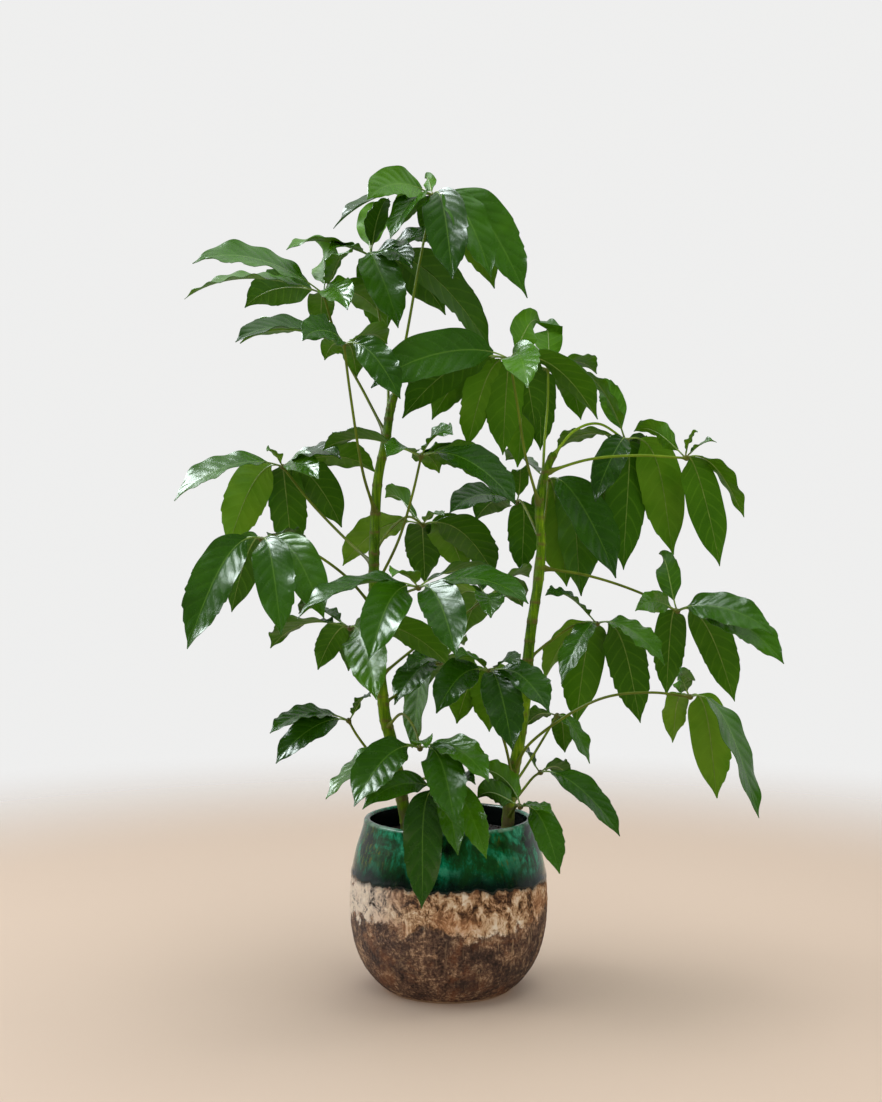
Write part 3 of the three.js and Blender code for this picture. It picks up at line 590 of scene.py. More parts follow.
class Network:
    """Nodes that are added and joined in short calls."""

    def __init__(self, tree):
        self.tree = tree

    def add(self, kind, settings=None, **inputs):
        made = self.tree.nodes.new("ShaderNode" + kind)
        for key, value in (settings or {}).items():
            setattr(made, key, value)
        for key, value in inputs.items():
            self.feed(made.inputs[key.replace("_", " ")], value)
        return made

    def feed(self, socket, value):
        if isinstance(value, bpy.types.NodeSocket):
            self.tree.links.new(value, socket)
        else:
            socket.default_value = value

    def sum(self, operation, first, second=0.5, third=0.5):
        """One small calculation with up to three values."""
        made = self.add("Math", {"operation": operation})
        for socket, value in zip(made.inputs, (first, second, third)):
            self.feed(socket, value)
        return made.outputs[0]

    def times(self, first, second):
        return self.sum("MULTIPLY", first, second)

    def layered(self, value, share, rest):
        """A share of one value on top of the rest."""
        return self.sum("MULTIPLY_ADD", value, share, rest)

    def swung(self, value, amount, level):
        """A level that swings up and down as a value passes a half."""
        return self.layered(self.sum("SUBTRACT", value, 0.5), amount, level)

    def step(self, value, low, high, bottom=0.0, top=1.0):
        """A smooth step from bottom to top while a value goes from low to high."""
        made = self.add(
            "MapRange", {"interpolation_type": "SMOOTHSTEP"},
            Value=value, From_Min=low, From_Max=high, To_Min=bottom, To_Max=top,
        )
        return made.outputs["Result"]

    def mix(self, share, first, second):
        made = self.add("Mix", {"data_type": "RGBA"})
        for place, value in ((0, share), (6, first), (7, second)):
            self.feed(made.inputs[place], value)
        return made.outputs[2]

    def coats(self, tone, *coats):
        """A tone with coats laid over it in turn, each as its share and its colour."""
        for share, coat in coats:
            tone = self.mix(share, tone, colour(*coat))
        return tone

    def ramp(self, value, *stops):
        """Colours along a value, each stop as its place, red, green and blue."""
        made = self.add("ValToRGB", Fac=value)
        row = made.color_ramp.elements
        while len(row) < len(stops):
            row.new(0.5)
        for element, (position, *tone) in zip(row, stops):
            element.position = position
            element.color = colour(*tone)
        return made.outputs["Color"]


class Finish(Network):
    """A material and the nodes it is built from."""

    def __init__(self, name):
        self.material = bpy.data.materials.new(name)
        self.material.use_nodes = True
        super().__init__(self.material.node_tree)
        self.shader = self.tree.nodes["Principled BSDF"]
        self.place = self.add("TexCoord").outputs["Object"]

    def sheet(self):
        """Places on a piece's own sheet, across it and along it."""
        return self.add("UVMap", {"uv_map": "UVMap"}).outputs["UV"]

    def stretched(self, scale, place=None, turn=(0.0, 0.0, 0.0)):
        made = self.add("Mapping", Vector=place or self.place, Scale=scale, Rotation=turn)
        return made.outputs["Vector"]

    def noise(self, scale, detail=4.0, rough=0.55, place=None, bend=0.0):
        made = self.add(
            "TexNoise", Vector=place or self.place, Scale=scale, Detail=detail, Roughness=rough,
            Distortion=bend,
        )
        return made.outputs["Fac"]

    def cells(self, scale, feature="F1"):
        made = self.add("TexVoronoi", {"feature": feature}, Vector=self.place, Scale=scale)
        return made.outputs["Distance"]

    def attribute(self, name):
        return self.add("Attribute", {"attribute_name": name}).outputs["Fac"]

    def painted(self, base, rough, specular=0.5, relief=None, depth=0.0, strength=1.0):
        """The finished material. A plain value goes straight to the shader's own socket."""
        sockets = self.shader.inputs
        self.feed(sockets["Base Color"], base)
        self.feed(sockets["Roughness"], rough)
        self.feed(sockets["Specular IOR Level"], specular)
        if relief:
            bump = self.add("Bump", Height=relief, Distance=depth, Strength=strength)
            self.feed(sockets["Normal"], bump.outputs["Normal"])
        return self.material


def vein_lines(leaf):
    """Patterns that follow a blade: its side veins, its midrib, and the humps between the side veins."""
    parts = leaf.add("SeparateXYZ", Vector=leaf.sheet())
    across, along = parts.outputs["X"], parts.outputs["Y"]
    off = leaf.sum("ABSOLUTE", leaf.layered(across, 2.0, -1.0))
    sweep = leaf.times(leaf.sum("POWER", off, VEIN_CURVE), VEIN_SWEEP)
    phase = leaf.times(leaf.sum("SUBTRACT", along, sweep), VEIN_PAIRS)
    phase = leaf.sum("ADD", phase, leaf.times(leaf.sum("GREATER_THAN", across, 0.5), 0.5))
    apart = leaf.sum("PINGPONG", phase, 0.5)
    fade = leaf.step(off, 0.75, 0.97, 1.0, 0.0)
    side = leaf.times(leaf.step(apart, 0.01, 0.12, 1.0, 0.0), fade)
    width = leaf.layered(along, -0.03, 0.055)
    midrib = leaf.sum("SUBTRACT", 1.0, leaf.sum("MINIMUM", leaf.sum("DIVIDE", off, width), 1.0))
    humps = leaf.times(leaf.step(apart, 0.0, 0.4), fade)
    humps = leaf.times(humps, leaf.step(off, 0.02, 0.3))
    return side, midrib, humps


def blade_tone(leaf, patches, *stops):
    """A blade's own tint with soft patches."""
    patch = leaf.times(leaf.noise(patches, 3.0), 0.5)
    return leaf.ramp(leaf.layered(leaf.attribute("tint"), 0.6, patch), *stops)


def upper_side_finish():
    """Dark, glossy upper side of a blade, with sunken veins and quilted humps between them."""
    leaf = Finish("leaf_upper_side")
    side, midrib, humps = vein_lines(leaf)
    web = leaf.cells(420.0, "DISTANCE_TO_EDGE")
    stops = (0.12, 24, 58, 2), (0.4, 38, 82, 2), (0.66, 56, 106, 5), (0.9, 80, 134, 12)
    base = leaf.coats(
        blade_tone(leaf, 16.0, *stops),
        (leaf.step(web, 0.0, 0.12, 0.08, 0.0), (66, 124, 30)),
        (leaf.times(side, 0.12), (90, 140, 40)),
        (leaf.times(midrib, 0.5), (118, 164, 60)),
    )
    rough = leaf.layered(leaf.noise(70.0), 0.2, 0.16)
    height = leaf.layered(humps, 0.4, leaf.times(leaf.noise(200.0, 3.0), 0.2))
    height = leaf.layered(leaf.step(web, 0.0, 0.2), 0.06, height)
    return leaf.painted(base, rough, 0.5, height, 0.0012, 0.8)


def lower_side_finish():
    """Yellower, matt lower side of a blade, with raised veins."""
    leaf = Finish("leaf_lower_side")
    side, midrib, humps = vein_lines(leaf)
    web = leaf.cells(380.0, "DISTANCE_TO_EDGE")
    stops = (0.14, 44, 88, 2), (0.45, 60, 110, 3), (0.7, 78, 130, 7), (0.9, 106, 152, 28)
    base = leaf.coats(
        blade_tone(leaf, 14.0, *stops),
        (leaf.step(web, 0.0, 0.14, 0.1, 0.0), (108, 158, 30)),
        (leaf.times(side, 0.22), (116, 168, 40)),
        (leaf.times(midrib, 0.35), (136, 176, 60)),
    )
    rough = leaf.layered(leaf.noise(60.0), 0.14, 0.46)
    height = leaf.layered(humps, -0.25, leaf.times(leaf.noise(240.0, 3.0), 0.25))
    return leaf.painted(base, rough, 0.14, height, 0.0012, 0.7)


def petiole_finish():
    """Thin olive stalks, paler when young, with fine lengthwise lines."""
    stalk = Finish("petiole_skin")
    streak = stalk.noise(1.0, 5.0, 0.6, stalk.stretched((14.0, 1.2, 1.0), stalk.sheet()))
    tone = stalk.layered(streak, 0.55, stalk.times(stalk.noise(28.0), 0.5))
    grown = stalk.ramp(
        tone, (0.28, 62, 68, 16), (0.48, 94, 110, 24), (0.66, 122, 144, 34), (0.85, 152, 172, 52),
    )
    fresh = stalk.ramp(tone, (0.28, 104, 140, 20), (0.6, 140, 176, 34), (0.85, 172, 200, 62))
    base = stalk.mix(stalk.attribute("young"), grown, fresh)
    base = stalk.coats(base, (stalk.attribute("brown"), (86, 70, 40)))
    return stalk.painted(base, 0.42, 0.2, streak, 0.0004, 0.6)


def stalk_finish():
    """Pale green leaflet stalks and raised midribs."""
    stalk = Finish("leaflet_stalk")
    patch = stalk.noise(90.0)
    base = stalk.ramp(patch, (0.3, 92, 128, 38), (0.5, 116, 150, 52), (0.72, 144, 174, 74))
    base = stalk.coats(base, (stalk.attribute("brown"), (98, 84, 46)))
    return stalk.painted(base, 0.45, 0.5, patch, 0.0003, 0.4)


def trunk_finish():
    """Green bark with brown leaf scars, pale specks and a corky foot."""
    bark = Finish("green_bark")
    lines = bark.noise(1.0, 6.0, 0.62, bark.stretched((260.0, 260.0, 22.0)))
    tone = bark.layered(lines, 0.5, bark.times(bark.noise(24.0, 5.0), 0.5))
    specks = bark.step(bark.cells(330.0), 0.1, 0.22, 1.0, 0.0)
    base = bark.coats(
        bark.ramp(tone, (0.38, 50, 82, 2), (0.47, 76, 114, 3), (0.55, 102, 140, 6), (0.66, 142, 170, 30)),
        (bark.times(specks, 0.35), (160, 168, 100)),
        (bark.times(bark.attribute("scar"), bark.step(bark.noise(120.0), 0.36, 0.56)), (104, 88, 48)),
        (bark.times(bark.attribute("foot"), bark.step(bark.noise(60.0, 5.0), 0.34, 0.6)), (112, 104, 66)),
    )
    rough = bark.layered(lines, 0.25, 0.38)
    height = bark.layered(specks, 0.5, lines)
    return bark.painted(base, rough, 0.12, height, 0.0007, 0.7)


def soil_finish():
    """Dark damp potting soil with pale grains."""
    soil = Finish("potting_soil")
    crumb = soil.noise(150.0, 8.0, 0.7)
    grain = soil.step(soil.cells(210.0), 0.08, 0.16, 1.0, 0.0)
    grain = soil.times(grain, soil.step(soil.noise(50.0), 0.5, 0.6))
    base = soil.ramp(crumb, (0.3, 20, 14, 10), (0.5, 44, 32, 24), (0.68, 72, 54, 40))
    base = soil.coats(base, (grain, (150, 136, 112)))
    return soil.painted(base, 0.95, 0.5, crumb, 0.003)


def glaze_tone(pot, edge):
    """Teal and green glaze in clouds, near black where it ran thick above its border, with olive runs,
    painted shade on the inside wall and a painted highlight along the lip's crest.
    """
    clouds = pot.noise(21.0, 7.0, 0.66, bend=0.8)
    grain = pot.noise(1.0, 8.0, 0.7, pot.stretched((110.0, 110.0, 46.0)), 0.4)
    belt = pot.sum("SUBTRACT", pot.step(edge, 6.0, 32.0), pot.step(edge, 42.0, 66.0))
    tone = pot.layered(belt, 0.03, pot.layered(clouds, 0.65, pot.times(grain, 0.35)))
    mossy = pot.step(pot.noise(9.0, 5.0, 0.6, pot.stretched((1.0, 1.0, 0.5))), 0.46, 0.6)
    runs = pot.step(pot.noise(1.0, 7.0, 0.72, pot.stretched((150.0, 150.0, 52.0)), 0.3), 0.51, 0.62)
    runs = pot.times(runs, pot.step(pot.noise(12.0, 3.0), 0.48, 0.58))
    specks = pot.times(pot.step(pot.cells(420.0), 0.08, 0.2, 0.5, 0.0), pot.step(grain, 0.45, 0.6))
    # Painted highlight: a pale mint line along the lip's crest.
    painted_lip_highlight = pot.times(pot.step(pot.noise(60.0, 5.0), 0.4, 0.58, 0.12, 0.6), pot.attribute("lip"))
    glaze = pot.ramp(
        tone, (0.41, 2, 14, 7), (0.46, 14, 48, 22), (0.505, 12, 84, 42), (0.55, 4, 130, 92),
        (0.61, 70, 186, 142),
    )
    return pot.coats(
        glaze,
        (pot.times(mossy, 0.62), (24, 74, 26)),
        (pot.times(runs, 0.7), (104, 110, 28)),
        (pot.step(pot.swung(clouds, -70.0, edge), 2.0, 42.0, 0.95, 0.0), (3, 11, 10)),
        (specks, (110, 132, 84)),
        # Painted shade: the inside wall is darkened to near black.
        (pot.attribute("inner"), (5, 16, 12)),
        (painted_lip_highlight, (168, 208, 184)),
    )


def cream_tone(pot, crust, painted_light_side):
    """A scraped pale band with brown crevices and peach patches, and painted light whitening it on the
    left side.
    """
    cream = pot.ramp(
        crust, (0.42, 46, 32, 22), (0.46, 104, 72, 48), (0.495, 178, 134, 94), (0.535, 224, 192, 152),
        (0.6, 250, 236, 214),
    )
    peach = pot.step(pot.noise(13.0, 5.0, 0.6), 0.5, 0.62, 0.0, 0.4)
    # Painted light: the cream is whitened on the left side, where the light falls.
    painted_light_on_band = pot.times(painted_light_side, pot.step(crust, 0.4, 0.5))
    return pot.coats(cream, (peach, (206, 146, 100)), (pot.times(painted_light_on_band, 0.75), (255, 244, 226)))


def clay_tone(pot, speckle, east):
    """Rough dark clay with tan speckles, rusty patches and pale scratches."""
    tone = pot.layered(speckle, 0.5, pot.times(pot.noise(34.0, 9.0, 0.72, bend=0.5), 0.5))
    clay = pot.ramp(
        tone, (0.41, 40, 30, 25), (0.465, 78, 58, 48), (0.52, 110, 84, 68), (0.56, 158, 124, 94),
        (0.63, 214, 184, 150),
    )
    rust = pot.step(pot.noise(18.0, 8.0, 0.7, bend=0.6), 0.5, 0.62, 0.0, 0.4)
    slate = pot.step(pot.noise(11.0, 4.0, 0.6), 0.5, 0.62, 0.0, 0.5)
    slanted = pot.stretched((170.0, 60.0, 22.0), turn=(0.0, math.radians(-24), 0.0))
    scratches = pot.step(pot.noise(1.0, 5.0, 0.66, slanted, 0.8), 0.56, 0.66)
    scratches = pot.times(scratches, pot.layered(east, 0.4, 0.2))
    return pot.coats(clay, (rust, (142, 86, 50)), (slate, (52, 44, 42)), (scratches, (204, 170, 130)))


def pot_finish():
    """Deep green running glaze above, a scraped cream band, and rough dark clay below."""
    pot = Finish("pot_glaze_and_clay")
    parts = pot.add("SeparateXYZ", Vector=pot.place)
    # Painted light: a share that whitens the cream band on the left, where the light falls.
    painted_light_side = pot.step(parts.outputs["X"], -0.14, -0.05, 1.0, 0.0)
    east = pot.step(parts.outputs["X"], 0.0, 0.09)
    ragged = pot.noise(80.0, 8.0, 0.68)
    edge = pot.swung(ragged, 13.0, pot.attribute("glaze_edge"))
    glazed = pot.step(edge, -0.4, 0.6)

    fine_crust = pot.noise(1.0, 9.0, 0.74, pot.stretched((96.0, 96.0, 62.0)), 1.2)
    crust = pot.layered(pot.noise(32.0, 9.0, 0.7, bend=1.4), 0.55, pot.times(fine_crust, 0.45))
    speckle = pot.noise(230.0, 6.0, 0.72)
    low = pot.swung(pot.noise(20.0, 8.0, 0.66, bend=0.5), 95.0, pot.attribute("cream_edge"))
    creamy = pot.step(pot.swung(crust, 70.0, low), -5.0, 6.0)
    body = pot.mix(creamy, clay_tone(pot, speckle, east), cream_tone(pot, crust, painted_light_side))
    shade = pot.step(edge, -7.0, 0.0, 0.0, 0.55)
    foot = pot.step(pot.swung(ragged, 0.008, parts.outputs["Z"]), 0.0025, 0.005, 0.85, 0.0)
    body = pot.coats(body, (shade, (44, 30, 22)), (foot, (212, 180, 148)))

    rough = pot.add("Mix", Factor=glazed)
    pot.feed(rough.inputs[2], pot.layered(speckle, 0.3, 0.6))
    pot.feed(rough.inputs[3], pot.layered(pot.noise(60.0, 6.0, 0.7), 0.16, 0.05))
    pits = pot.times(pot.layered(crust, 1.1, speckle), pot.sum("SUBTRACT", 1.0, glazed))
    uneven = pot.layered(pot.noise(48.0, 5.0, 0.6), 0.3, pits)
    base = pot.mix(glazed, body, glaze_tone(pot, edge))
    return pot.painted(base, rough.outputs[0], 0.26, uneven, 0.0028, 0.85)


# A leaf's finishes, and the places in their list of the lower side, the petiole and the stalks
LEAF_FINISHES = [upper_side_finish(), lower_side_finish(), petiole_finish(), stalk_finish()]
LOWER_SIDE = 1
PETIOLE = 2
STALK = 3


# Turned pieces
def upright(profile):
    return [(radius, 0, height) for radius, height in profile]


def turned(profile, steps):
    """A new mesh, turned about the upright axis from a profile in millimetres."""
    mesh = bmesh.new()
    line = [mesh.verts.new(Vector(place) * MM) for place in profile]
    edges = [mesh.edges.new(pair) for pair in zip(line, line[1:])]
    bmesh.ops.spin(
        mesh, geom=line + edges, cent=(0, 0, 0), axis=(0, 0, 1), angle=2 * math.pi, steps=steps,
        use_merge=True,
    )
    bmesh.ops.remove_doubles(mesh, verts=mesh.verts[:], dist=1e-6)
    bmesh.ops.recalc_face_normals(mesh, faces=mesh.faces[:])
    return mesh


# Pot
POT_STEPS = 340
POT_OUTER_ROWS = 180
POT_INNER_ROWS = 40
HALF_WALL = 4
GLAZE_LEVEL = 173.5
CREAM_LEVEL = 117
GLAZE_ROLL = 0.9
GLAZE_LAYER = 0.7
CREAM_ROUGH = 0.8
CLAY_ROUGH = 0.5

# Glaze counts as thick inside the pot. The painted highlight along the lip's crest begins at a height and
# a radius.
INNER_GLAZE = 60.0
# Below this height the inside wall gets painted shade.
INNER_TOP = 256
CREST_HEIGHT = 255.6
CREST_RADIUS = 123.6

# The outside's relief begins past the foot ring and grows over the lowest part of the wall.
RELIEF_RADIUS = 92
RELIEF_HEIGHT = 0.5
RELIEF_EASE = 10


def glaze_border(angle):
    """Height of the glaze's lower border round the pot, in millimetres. The angle runs from the front."""
    place = Vector((math.sin(angle), math.cos(angle), 0.0))
    level = GLAZE_LEVEL - 3 * math.sin(angle) + 2.5 * math.cos(2 * angle)
    runs = 6 * noise.noise(place * 3.1) + 4.5 * noise.noise(place * 9.0) + 3 * noise.noise(place * 24.0)
    return level + runs


def cream_border(angle):
    """Height of the cream band's lower border, in the same way."""
    place = Vector((math.sin(angle), math.cos(angle), 4.0))
    return CREAM_LEVEL + 9 * noise.noise(place * 2.6) + 7 * noise.noise(place * 8.0)


def pot_relief(place, glaze, cream):
    """How far the pot's outside stands in or out of its turned form, in millimetres."""
    wobble = 0.5 * noise.noise(place * 9.0)
    if glaze > 0:
        roll = GLAZE_ROLL * math.exp(-((glaze - 3.5) / 4.5)**2)
        layer = GLAZE_LAYER * min(1, glaze / 2.2)
        return wobble + layer + roll + 0.15 * noise.noise(place * 45.0)
    rough = noise.fractal(Vector((place.x * 80, place.y * 80, place.z * 120)), 0.75, 2.1, 5)
    pits = max(0.0, noise.noise(place * 170.0) - 0.2) * 1.4
    amount = CREAM_ROUGH if cream > 0 else CLAY_ROUGH
    return wobble + amount * rough - pits


def make_pot():
    outside = at_shares(curve_through(upright(POT_OUTSIDE)), np.linspace(0, 1, POT_OUTER_ROWS))
    inside = at_shares(curve_through(upright(POT_INSIDE)), np.linspace(0, 1, POT_INNER_ROWS))
    profile = [*upright(POT_FOOT), *outside, *upright(POT_LIP), *inside, *upright(POT_FLOOR)]
    mesh = turned(profile, POT_STEPS)
    layers = layers_of(mesh, "glaze_edge", "cream_edge", "inner", "lip")
    wall_heights = [height for _, height in POT_OUTSIDE]
    wall_radii = [radius - HALF_WALL for radius, _ in POT_OUTSIDE]
    for point in mesh.verts:
        place = point.co.copy()
        radius = math.hypot(place.x, place.y) / MM
        height = place.z / MM
        inner = radius < np.interp(height, wall_heights, wall_radii)
        angle = math.atan2(place.x, -place.y)
        glaze = INNER_GLAZE if inner else height - glaze_border(angle)
        cream = height - cream_border(angle)
        # The lip layer marks the crest where the painted highlight lies.
        crest = 0.0
        if height > CREST_HEIGHT and radius > CREST_RADIUS:
            crest = min(1.0, (height - CREST_HEIGHT) / 1.5) * min(1.0, (radius - CREST_RADIUS) / 1.2)
        point[layers["glaze_edge"]] = glaze
        point[layers["cream_edge"]] = cream
        # The inner layer marks the inside wall that gets painted shade.
        point[layers["inner"]] = 1.0 if inner and height < INNER_TOP else 0.0
        point[layers["lip"]] = crest
        if radius > RELIEF_RADIUS and height > RELIEF_HEIGHT and not inner:
            out = Vector((place.x, place.y, 0)).normalized()
            ease = min(1.0, height / RELIEF_EASE)
            point.co = place + out * pot_relief(place, glaze, cream) * ease * MM
    stand_for("pot", mesh, [pot_finish()], 60)


# Soil
SOIL_STEPS = 180
SOIL_RADIUS = 124
LUMP_HEIGHT = 2.4
LUMP_SINK = 1.5
GRAIN_SEED = 7
GRAINS = 420
GRAIN_REACH = 117
GRAIN_SIZES = (1.2, 3.4)


def soil_level(radius):
    """Height of the mounded soil at a distance from the middle."""
    return SOIL_TOP + SOIL_MOUND * (1 - radius / SOIL_RADIUS)**0.5


def add_grain(mesh, pick):
    """A flattened, lumpy grain that lies on the soil."""
    radius = GRAIN_REACH * math.sqrt(pick.random())
    angle = pick.uniform(0, 2 * math.pi)
    size = pick.uniform(*GRAIN_SIZES)
    made = bmesh.ops.create_icosphere(mesh, subdivisions=1, radius=size * MM)
    shift = Vector((radius * math.cos(angle), radius * math.sin(angle), soil_level(radius) - 0.6)) * MM
    for point in made["verts"]:
        lump = 1 + 0.3 * noise.noise(point.co * 900 + shift * 50)
        point.co = Vector((point.co.x, point.co.y, point.co.z * 0.75)) * lump + shift


def make_soil():
    inside = [(radius, height) for radius, height in reversed(POT_INSIDE) if height < SOIL_TOP]
    wall = [(radius - SEAT_GAP, height + SEAT_GAP) for radius, height in inside]
    top = [(radius, soil_level(radius)) for radius in range(SOIL_RADIUS, -1, -2)]
    mesh = turned(upright([*SOIL_BOTTOM, *wall, *top]), SOIL_STEPS)
    for point in mesh.verts:
        radius = math.hypot(point.co.x, point.co.y) / MM
        if point.co.z > SOIL_TOP * MM and radius < SOIL_RADIUS - 1:
            lumps = noise.fractal(point.co * 70, 0.8, 2.1, 5)
            point.co.z += (LUMP_HEIGHT * lumps - LUMP_SINK) * MM * min(1, (SOIL_RADIUS - radius) / 8)
    pick = random.Random(GRAIN_SEED)
    for _ in range(GRAINS):
        add_grain(mesh, pick)
    stand_for("soil", mesh, [soil_finish()], 70)


# Trunks
TRUNK_ROW = 2.6
TRUNK_SIDES = 28
TRUNK_ROUND = 7
SCAR_SEEDS = {"a": 11, "b": 23}
SCAR_LOWEST = 250.0
SCAR_GAPS = (26, 48)
SCAR_HEIGHT = 2.2
SCAR_SWELL = 0.75
CORK_TOP = 330
CORK_FADE = 90


def leaf_scars(name):
    """Heights of a trunk's scars: one at each leaf, and others left by fallen leaves."""
    pick = random.Random(SCAR_SEEDS[name])
    scars = [leaf[1] for leaf in LEAVES.values() if leaf[0] == name]
    level = SCAR_LOWEST
    while level < trunk_paths[name][-1, 2] - 20:
        scars.append(level)
        level += pick.uniform(*SCAR_GAPS)
    return scars


def make_trunk(name, bark):
    trunk = TRUNKS[name]
    total = lengths_along(trunk_paths[name])[-1]
    shares = np.linspace(0, 1, int(total / TRUNK_ROW) + 1)
    places = at_shares(trunk_paths[name], shares)
    apart = np.abs(places[:, 2:] - np.array(leaf_scars(name))[None]).min(axis=1)
    scar = np.exp(-(apart / SCAR_HEIGHT)**2)
    past = ((shares - 1) * total / TRUNK_ROUND + 1).clip(0)
    ends = np.sqrt(np.maximum(0, 1 - past**2))
    ends[0] = 0
    base = trunk["foot"] + (trunk["tip"] - trunk["foot"]) * shares**1.5 + 0.35 + SCAR_SWELL * scar
    turn = np.linspace(0, 2 * math.pi, TRUNK_SIDES + 1)
    lumps = np.array([
        [noise.noise(Vector((math.cos(a) * 1.2, math.sin(a) * 1.2, place[2] / 26))) for a in turn]
        for place in places
    ])
    radii = (base * ends)[:, None] * (1 + 0.045 * lumps)
    mesh = bmesh.new()
    mesh.loops.layers.uv.new("UVMap")
    layers = layers_of(mesh, "scar", "foot")
    points = roll_stem(mesh, places, radii, TRUNK_SIDES)
    order = np.argsort(places[:, 2])
    for point in points:
        height = point.co.z / MM
        point[layers["scar"]] = float(np.interp(height, places[order, 2], scar[order]))
        point[layers["foot"]] = max(0.0, min(1.0, (CORK_TOP - height) / CORK_FADE))
    stand_for("trunk_" + name, mesh, [bark], 60)


# Compound leaves
LEAF_SEED = 300
BLADE_ROWS = (30, 64)
BLADE_COLUMNS = (8, 16)
ROW_LENGTH = 3
COLUMN_WIDTH = 2.2
STALK_SIDES = 8
PETIOLE_SIDES = 12
PETIOLE_ROW = 4

# How far the brown at a hub and at a petiole's root reaches, in metres
STALK_BROWN = 0.012
HUB_BROWN = 0.018
ROOT_BROWN = 0.016


def saw_teeth(shares, pick):
    """A blade's edge swells towards the tip of each tooth and drops back behind it."""
    return (shares * pick.uniform(8, 12) + pick.random()) % 1 - 0.6


def blade_shape(leaflet, shares, columns, pick):
    """The upper surface of a blade, row by row, in millimetres."""
    centre, ahead, normal = leaflet_line(leaflet, STALK_SHARE + (1 - STALK_SHARE) * shares)
    across = np.cross(ahead, normal)
    width = np.interp(shares, BLADE_SHARES, BLADE_WIDTHS)
    half = leaflet["half_width"] * np.convolve(np.pad(width, 2, mode="edge"), SOFTENING, mode="valid")
    v = np.linspace(-1, 1, columns + 1)
    off = np.abs(v)[None]
    uneven = 1 + 0.04 * pick.uniform(-1, 1) * np.sign(v)
    toothed = smooth_steps(shares, [0, 0.42, 0.6, 0.92, 1], [0, 0, 1, 1, 0])
    edges = [half * (1 + toothed * pick.choice(TOOTH_DEPTHS) * saw_teeth(shares, pick)) for _ in range(2)]
    half_across = np.where(v[None] < 0, edges[0][:, None], edges[1][:, None])
    lift = leaflet["fold"] * half[:, None] * off**1.25
    wave = LEAFLET_WAVE * leaflet["wave"] * smooth_steps(shares, SOLID_SHARES, WAVE_TURNS)
    ripple = pick.uniform(1.0, 2.8) * np.sin(2 * math.pi * (shares * pick.uniform(3, 5.5) + pick.random()))
    ripple = ripple * np.minimum(1, half / 12)
    edge = np.sign(v)[None] * off**2 * wave[:, None] + off**3 * ripple[:, None]
    phase = (shares[:, None] - VEIN_SWEEP * off**VEIN_CURVE) * VEIN_PAIRS + 0.5 * (v > 0)[None]
    apart = np.abs(phase - np.round(phase)) * 2
    quilt = VEIN_RELIEF * (np.sin(apart * math.pi / 2) - 0.5) * np.sin(np.minimum(1, off * 1.15) * math.pi)
    quilt = quilt * np.minimum(1, half / 14)[:, None]
    rise = lift + edge + quilt + BLADE_THICKNESS / 2
    side = (v * uneven)[None] * half_across
    return centre[:, None] + across[:, None] * side[..., None] + normal[:, None] * rise[..., None]


def add_blade(mesh, leaflet, tint_layer, pick):
    """A blade's sheet, with rows and columns to suit its size, and one tint of its own."""
    length = float(np.linalg.norm(leaflet["steer"][3] - leaflet["steer"][0]))
    rows = int(np.clip(length / ROW_LENGTH, *BLADE_ROWS))
    columns = int(np.clip(leaflet["half_width"] / COLUMN_WIDTH, *BLADE_COLUMNS)) // 2 * 2
    shape = blade_shape(leaflet, np.linspace(0, 1, rows + 1), columns, pick).reshape(-1, 3) * MM
    points = sheet_of(mesh, columns, rows)
    tint = pick.random()
    for point, place in zip(points, shape):
        point.co = place
        point[tint_layer] = tint


def add_stalk(mesh, leaflet, brown_layer):
    """A leaflet's stalk, which runs on under its blade as the midrib."""
    stalk = np.linspace(0, STALK_SHARE, 9)[:-1]
    shares = np.concatenate([stalk, np.linspace(STALK_SHARE, STALK_PLACES[-1], 20)])
    places, _, normal = leaflet_line(leaflet, shares)
    places = places - normal * np.interp(shares, SINK_PLACES, SINKS)[:, None]
    radii = np.interp(shares, STALK_PLACES, STALK_RADII)
    radii[[0, -1]] = 0
    points = roll_stem(mesh, places, radii, STALK_SIDES, STALK)
    hub = Vector(leaflet["hub"]) * MM
    for point in points:
        point[brown_layer] = max(0.0, 1 - (point.co - hub).length / STALK_BROWN) * 0.9


def add_petiole(mesh, name, layers):
    """A petiole that flares where it leaves its trunk, with the hub as a knob at its end."""
    path = petiole_paths[name]
    total = lengths_along(path)[-1]
    last_row = 1 - KNOB_PLACES[-1] / total
    knob_rows = 1 - np.array(KNOB_PLACES[-2::-1]) / total
    shares = np.concatenate([np.linspace(0, last_row, int(total / PETIOLE_ROW)), knob_rows])
    places = at_shares(path, shares)
    distance = shares * total
    left = total - distance
    radii = PETIOLE_RADIUS + (PETIOLE_TIP_RADIUS - PETIOLE_RADIUS) * shares
    radii = radii + PETIOLE_FLARE * np.maximum(0, 1 - shares * 7)**1.4
    radii = radii + 2.2 * np.exp(-np.maximum(0, distance - 8) / 5)
    knob = np.interp(left, KNOB_PLACES, KNOB_RADII)
    radii = np.where(left < 12.1, np.maximum(knob, radii * (left > 5)), radii)
    radii[[0, -1]] = 0
    points = roll_stem(mesh, places, radii, PETIOLE_SIDES, PETIOLE)
    hub = Vector(places[-1]) * MM
    root = Vector(places[0]) * MM
    for point in points:
        point[layers["young"]] = YOUNG.get(name, 0.0)
        hub_brown = max(0.0, 1 - (point.co - hub).length / HUB_BROWN)
        root_brown = max(0.0, 1 - max(0.0, (point.co - root).length - 0.006) / ROOT_BROWN)
        point[layers["brown"]] = 0.85 * max(hub_brown, 0.6 * root_brown)


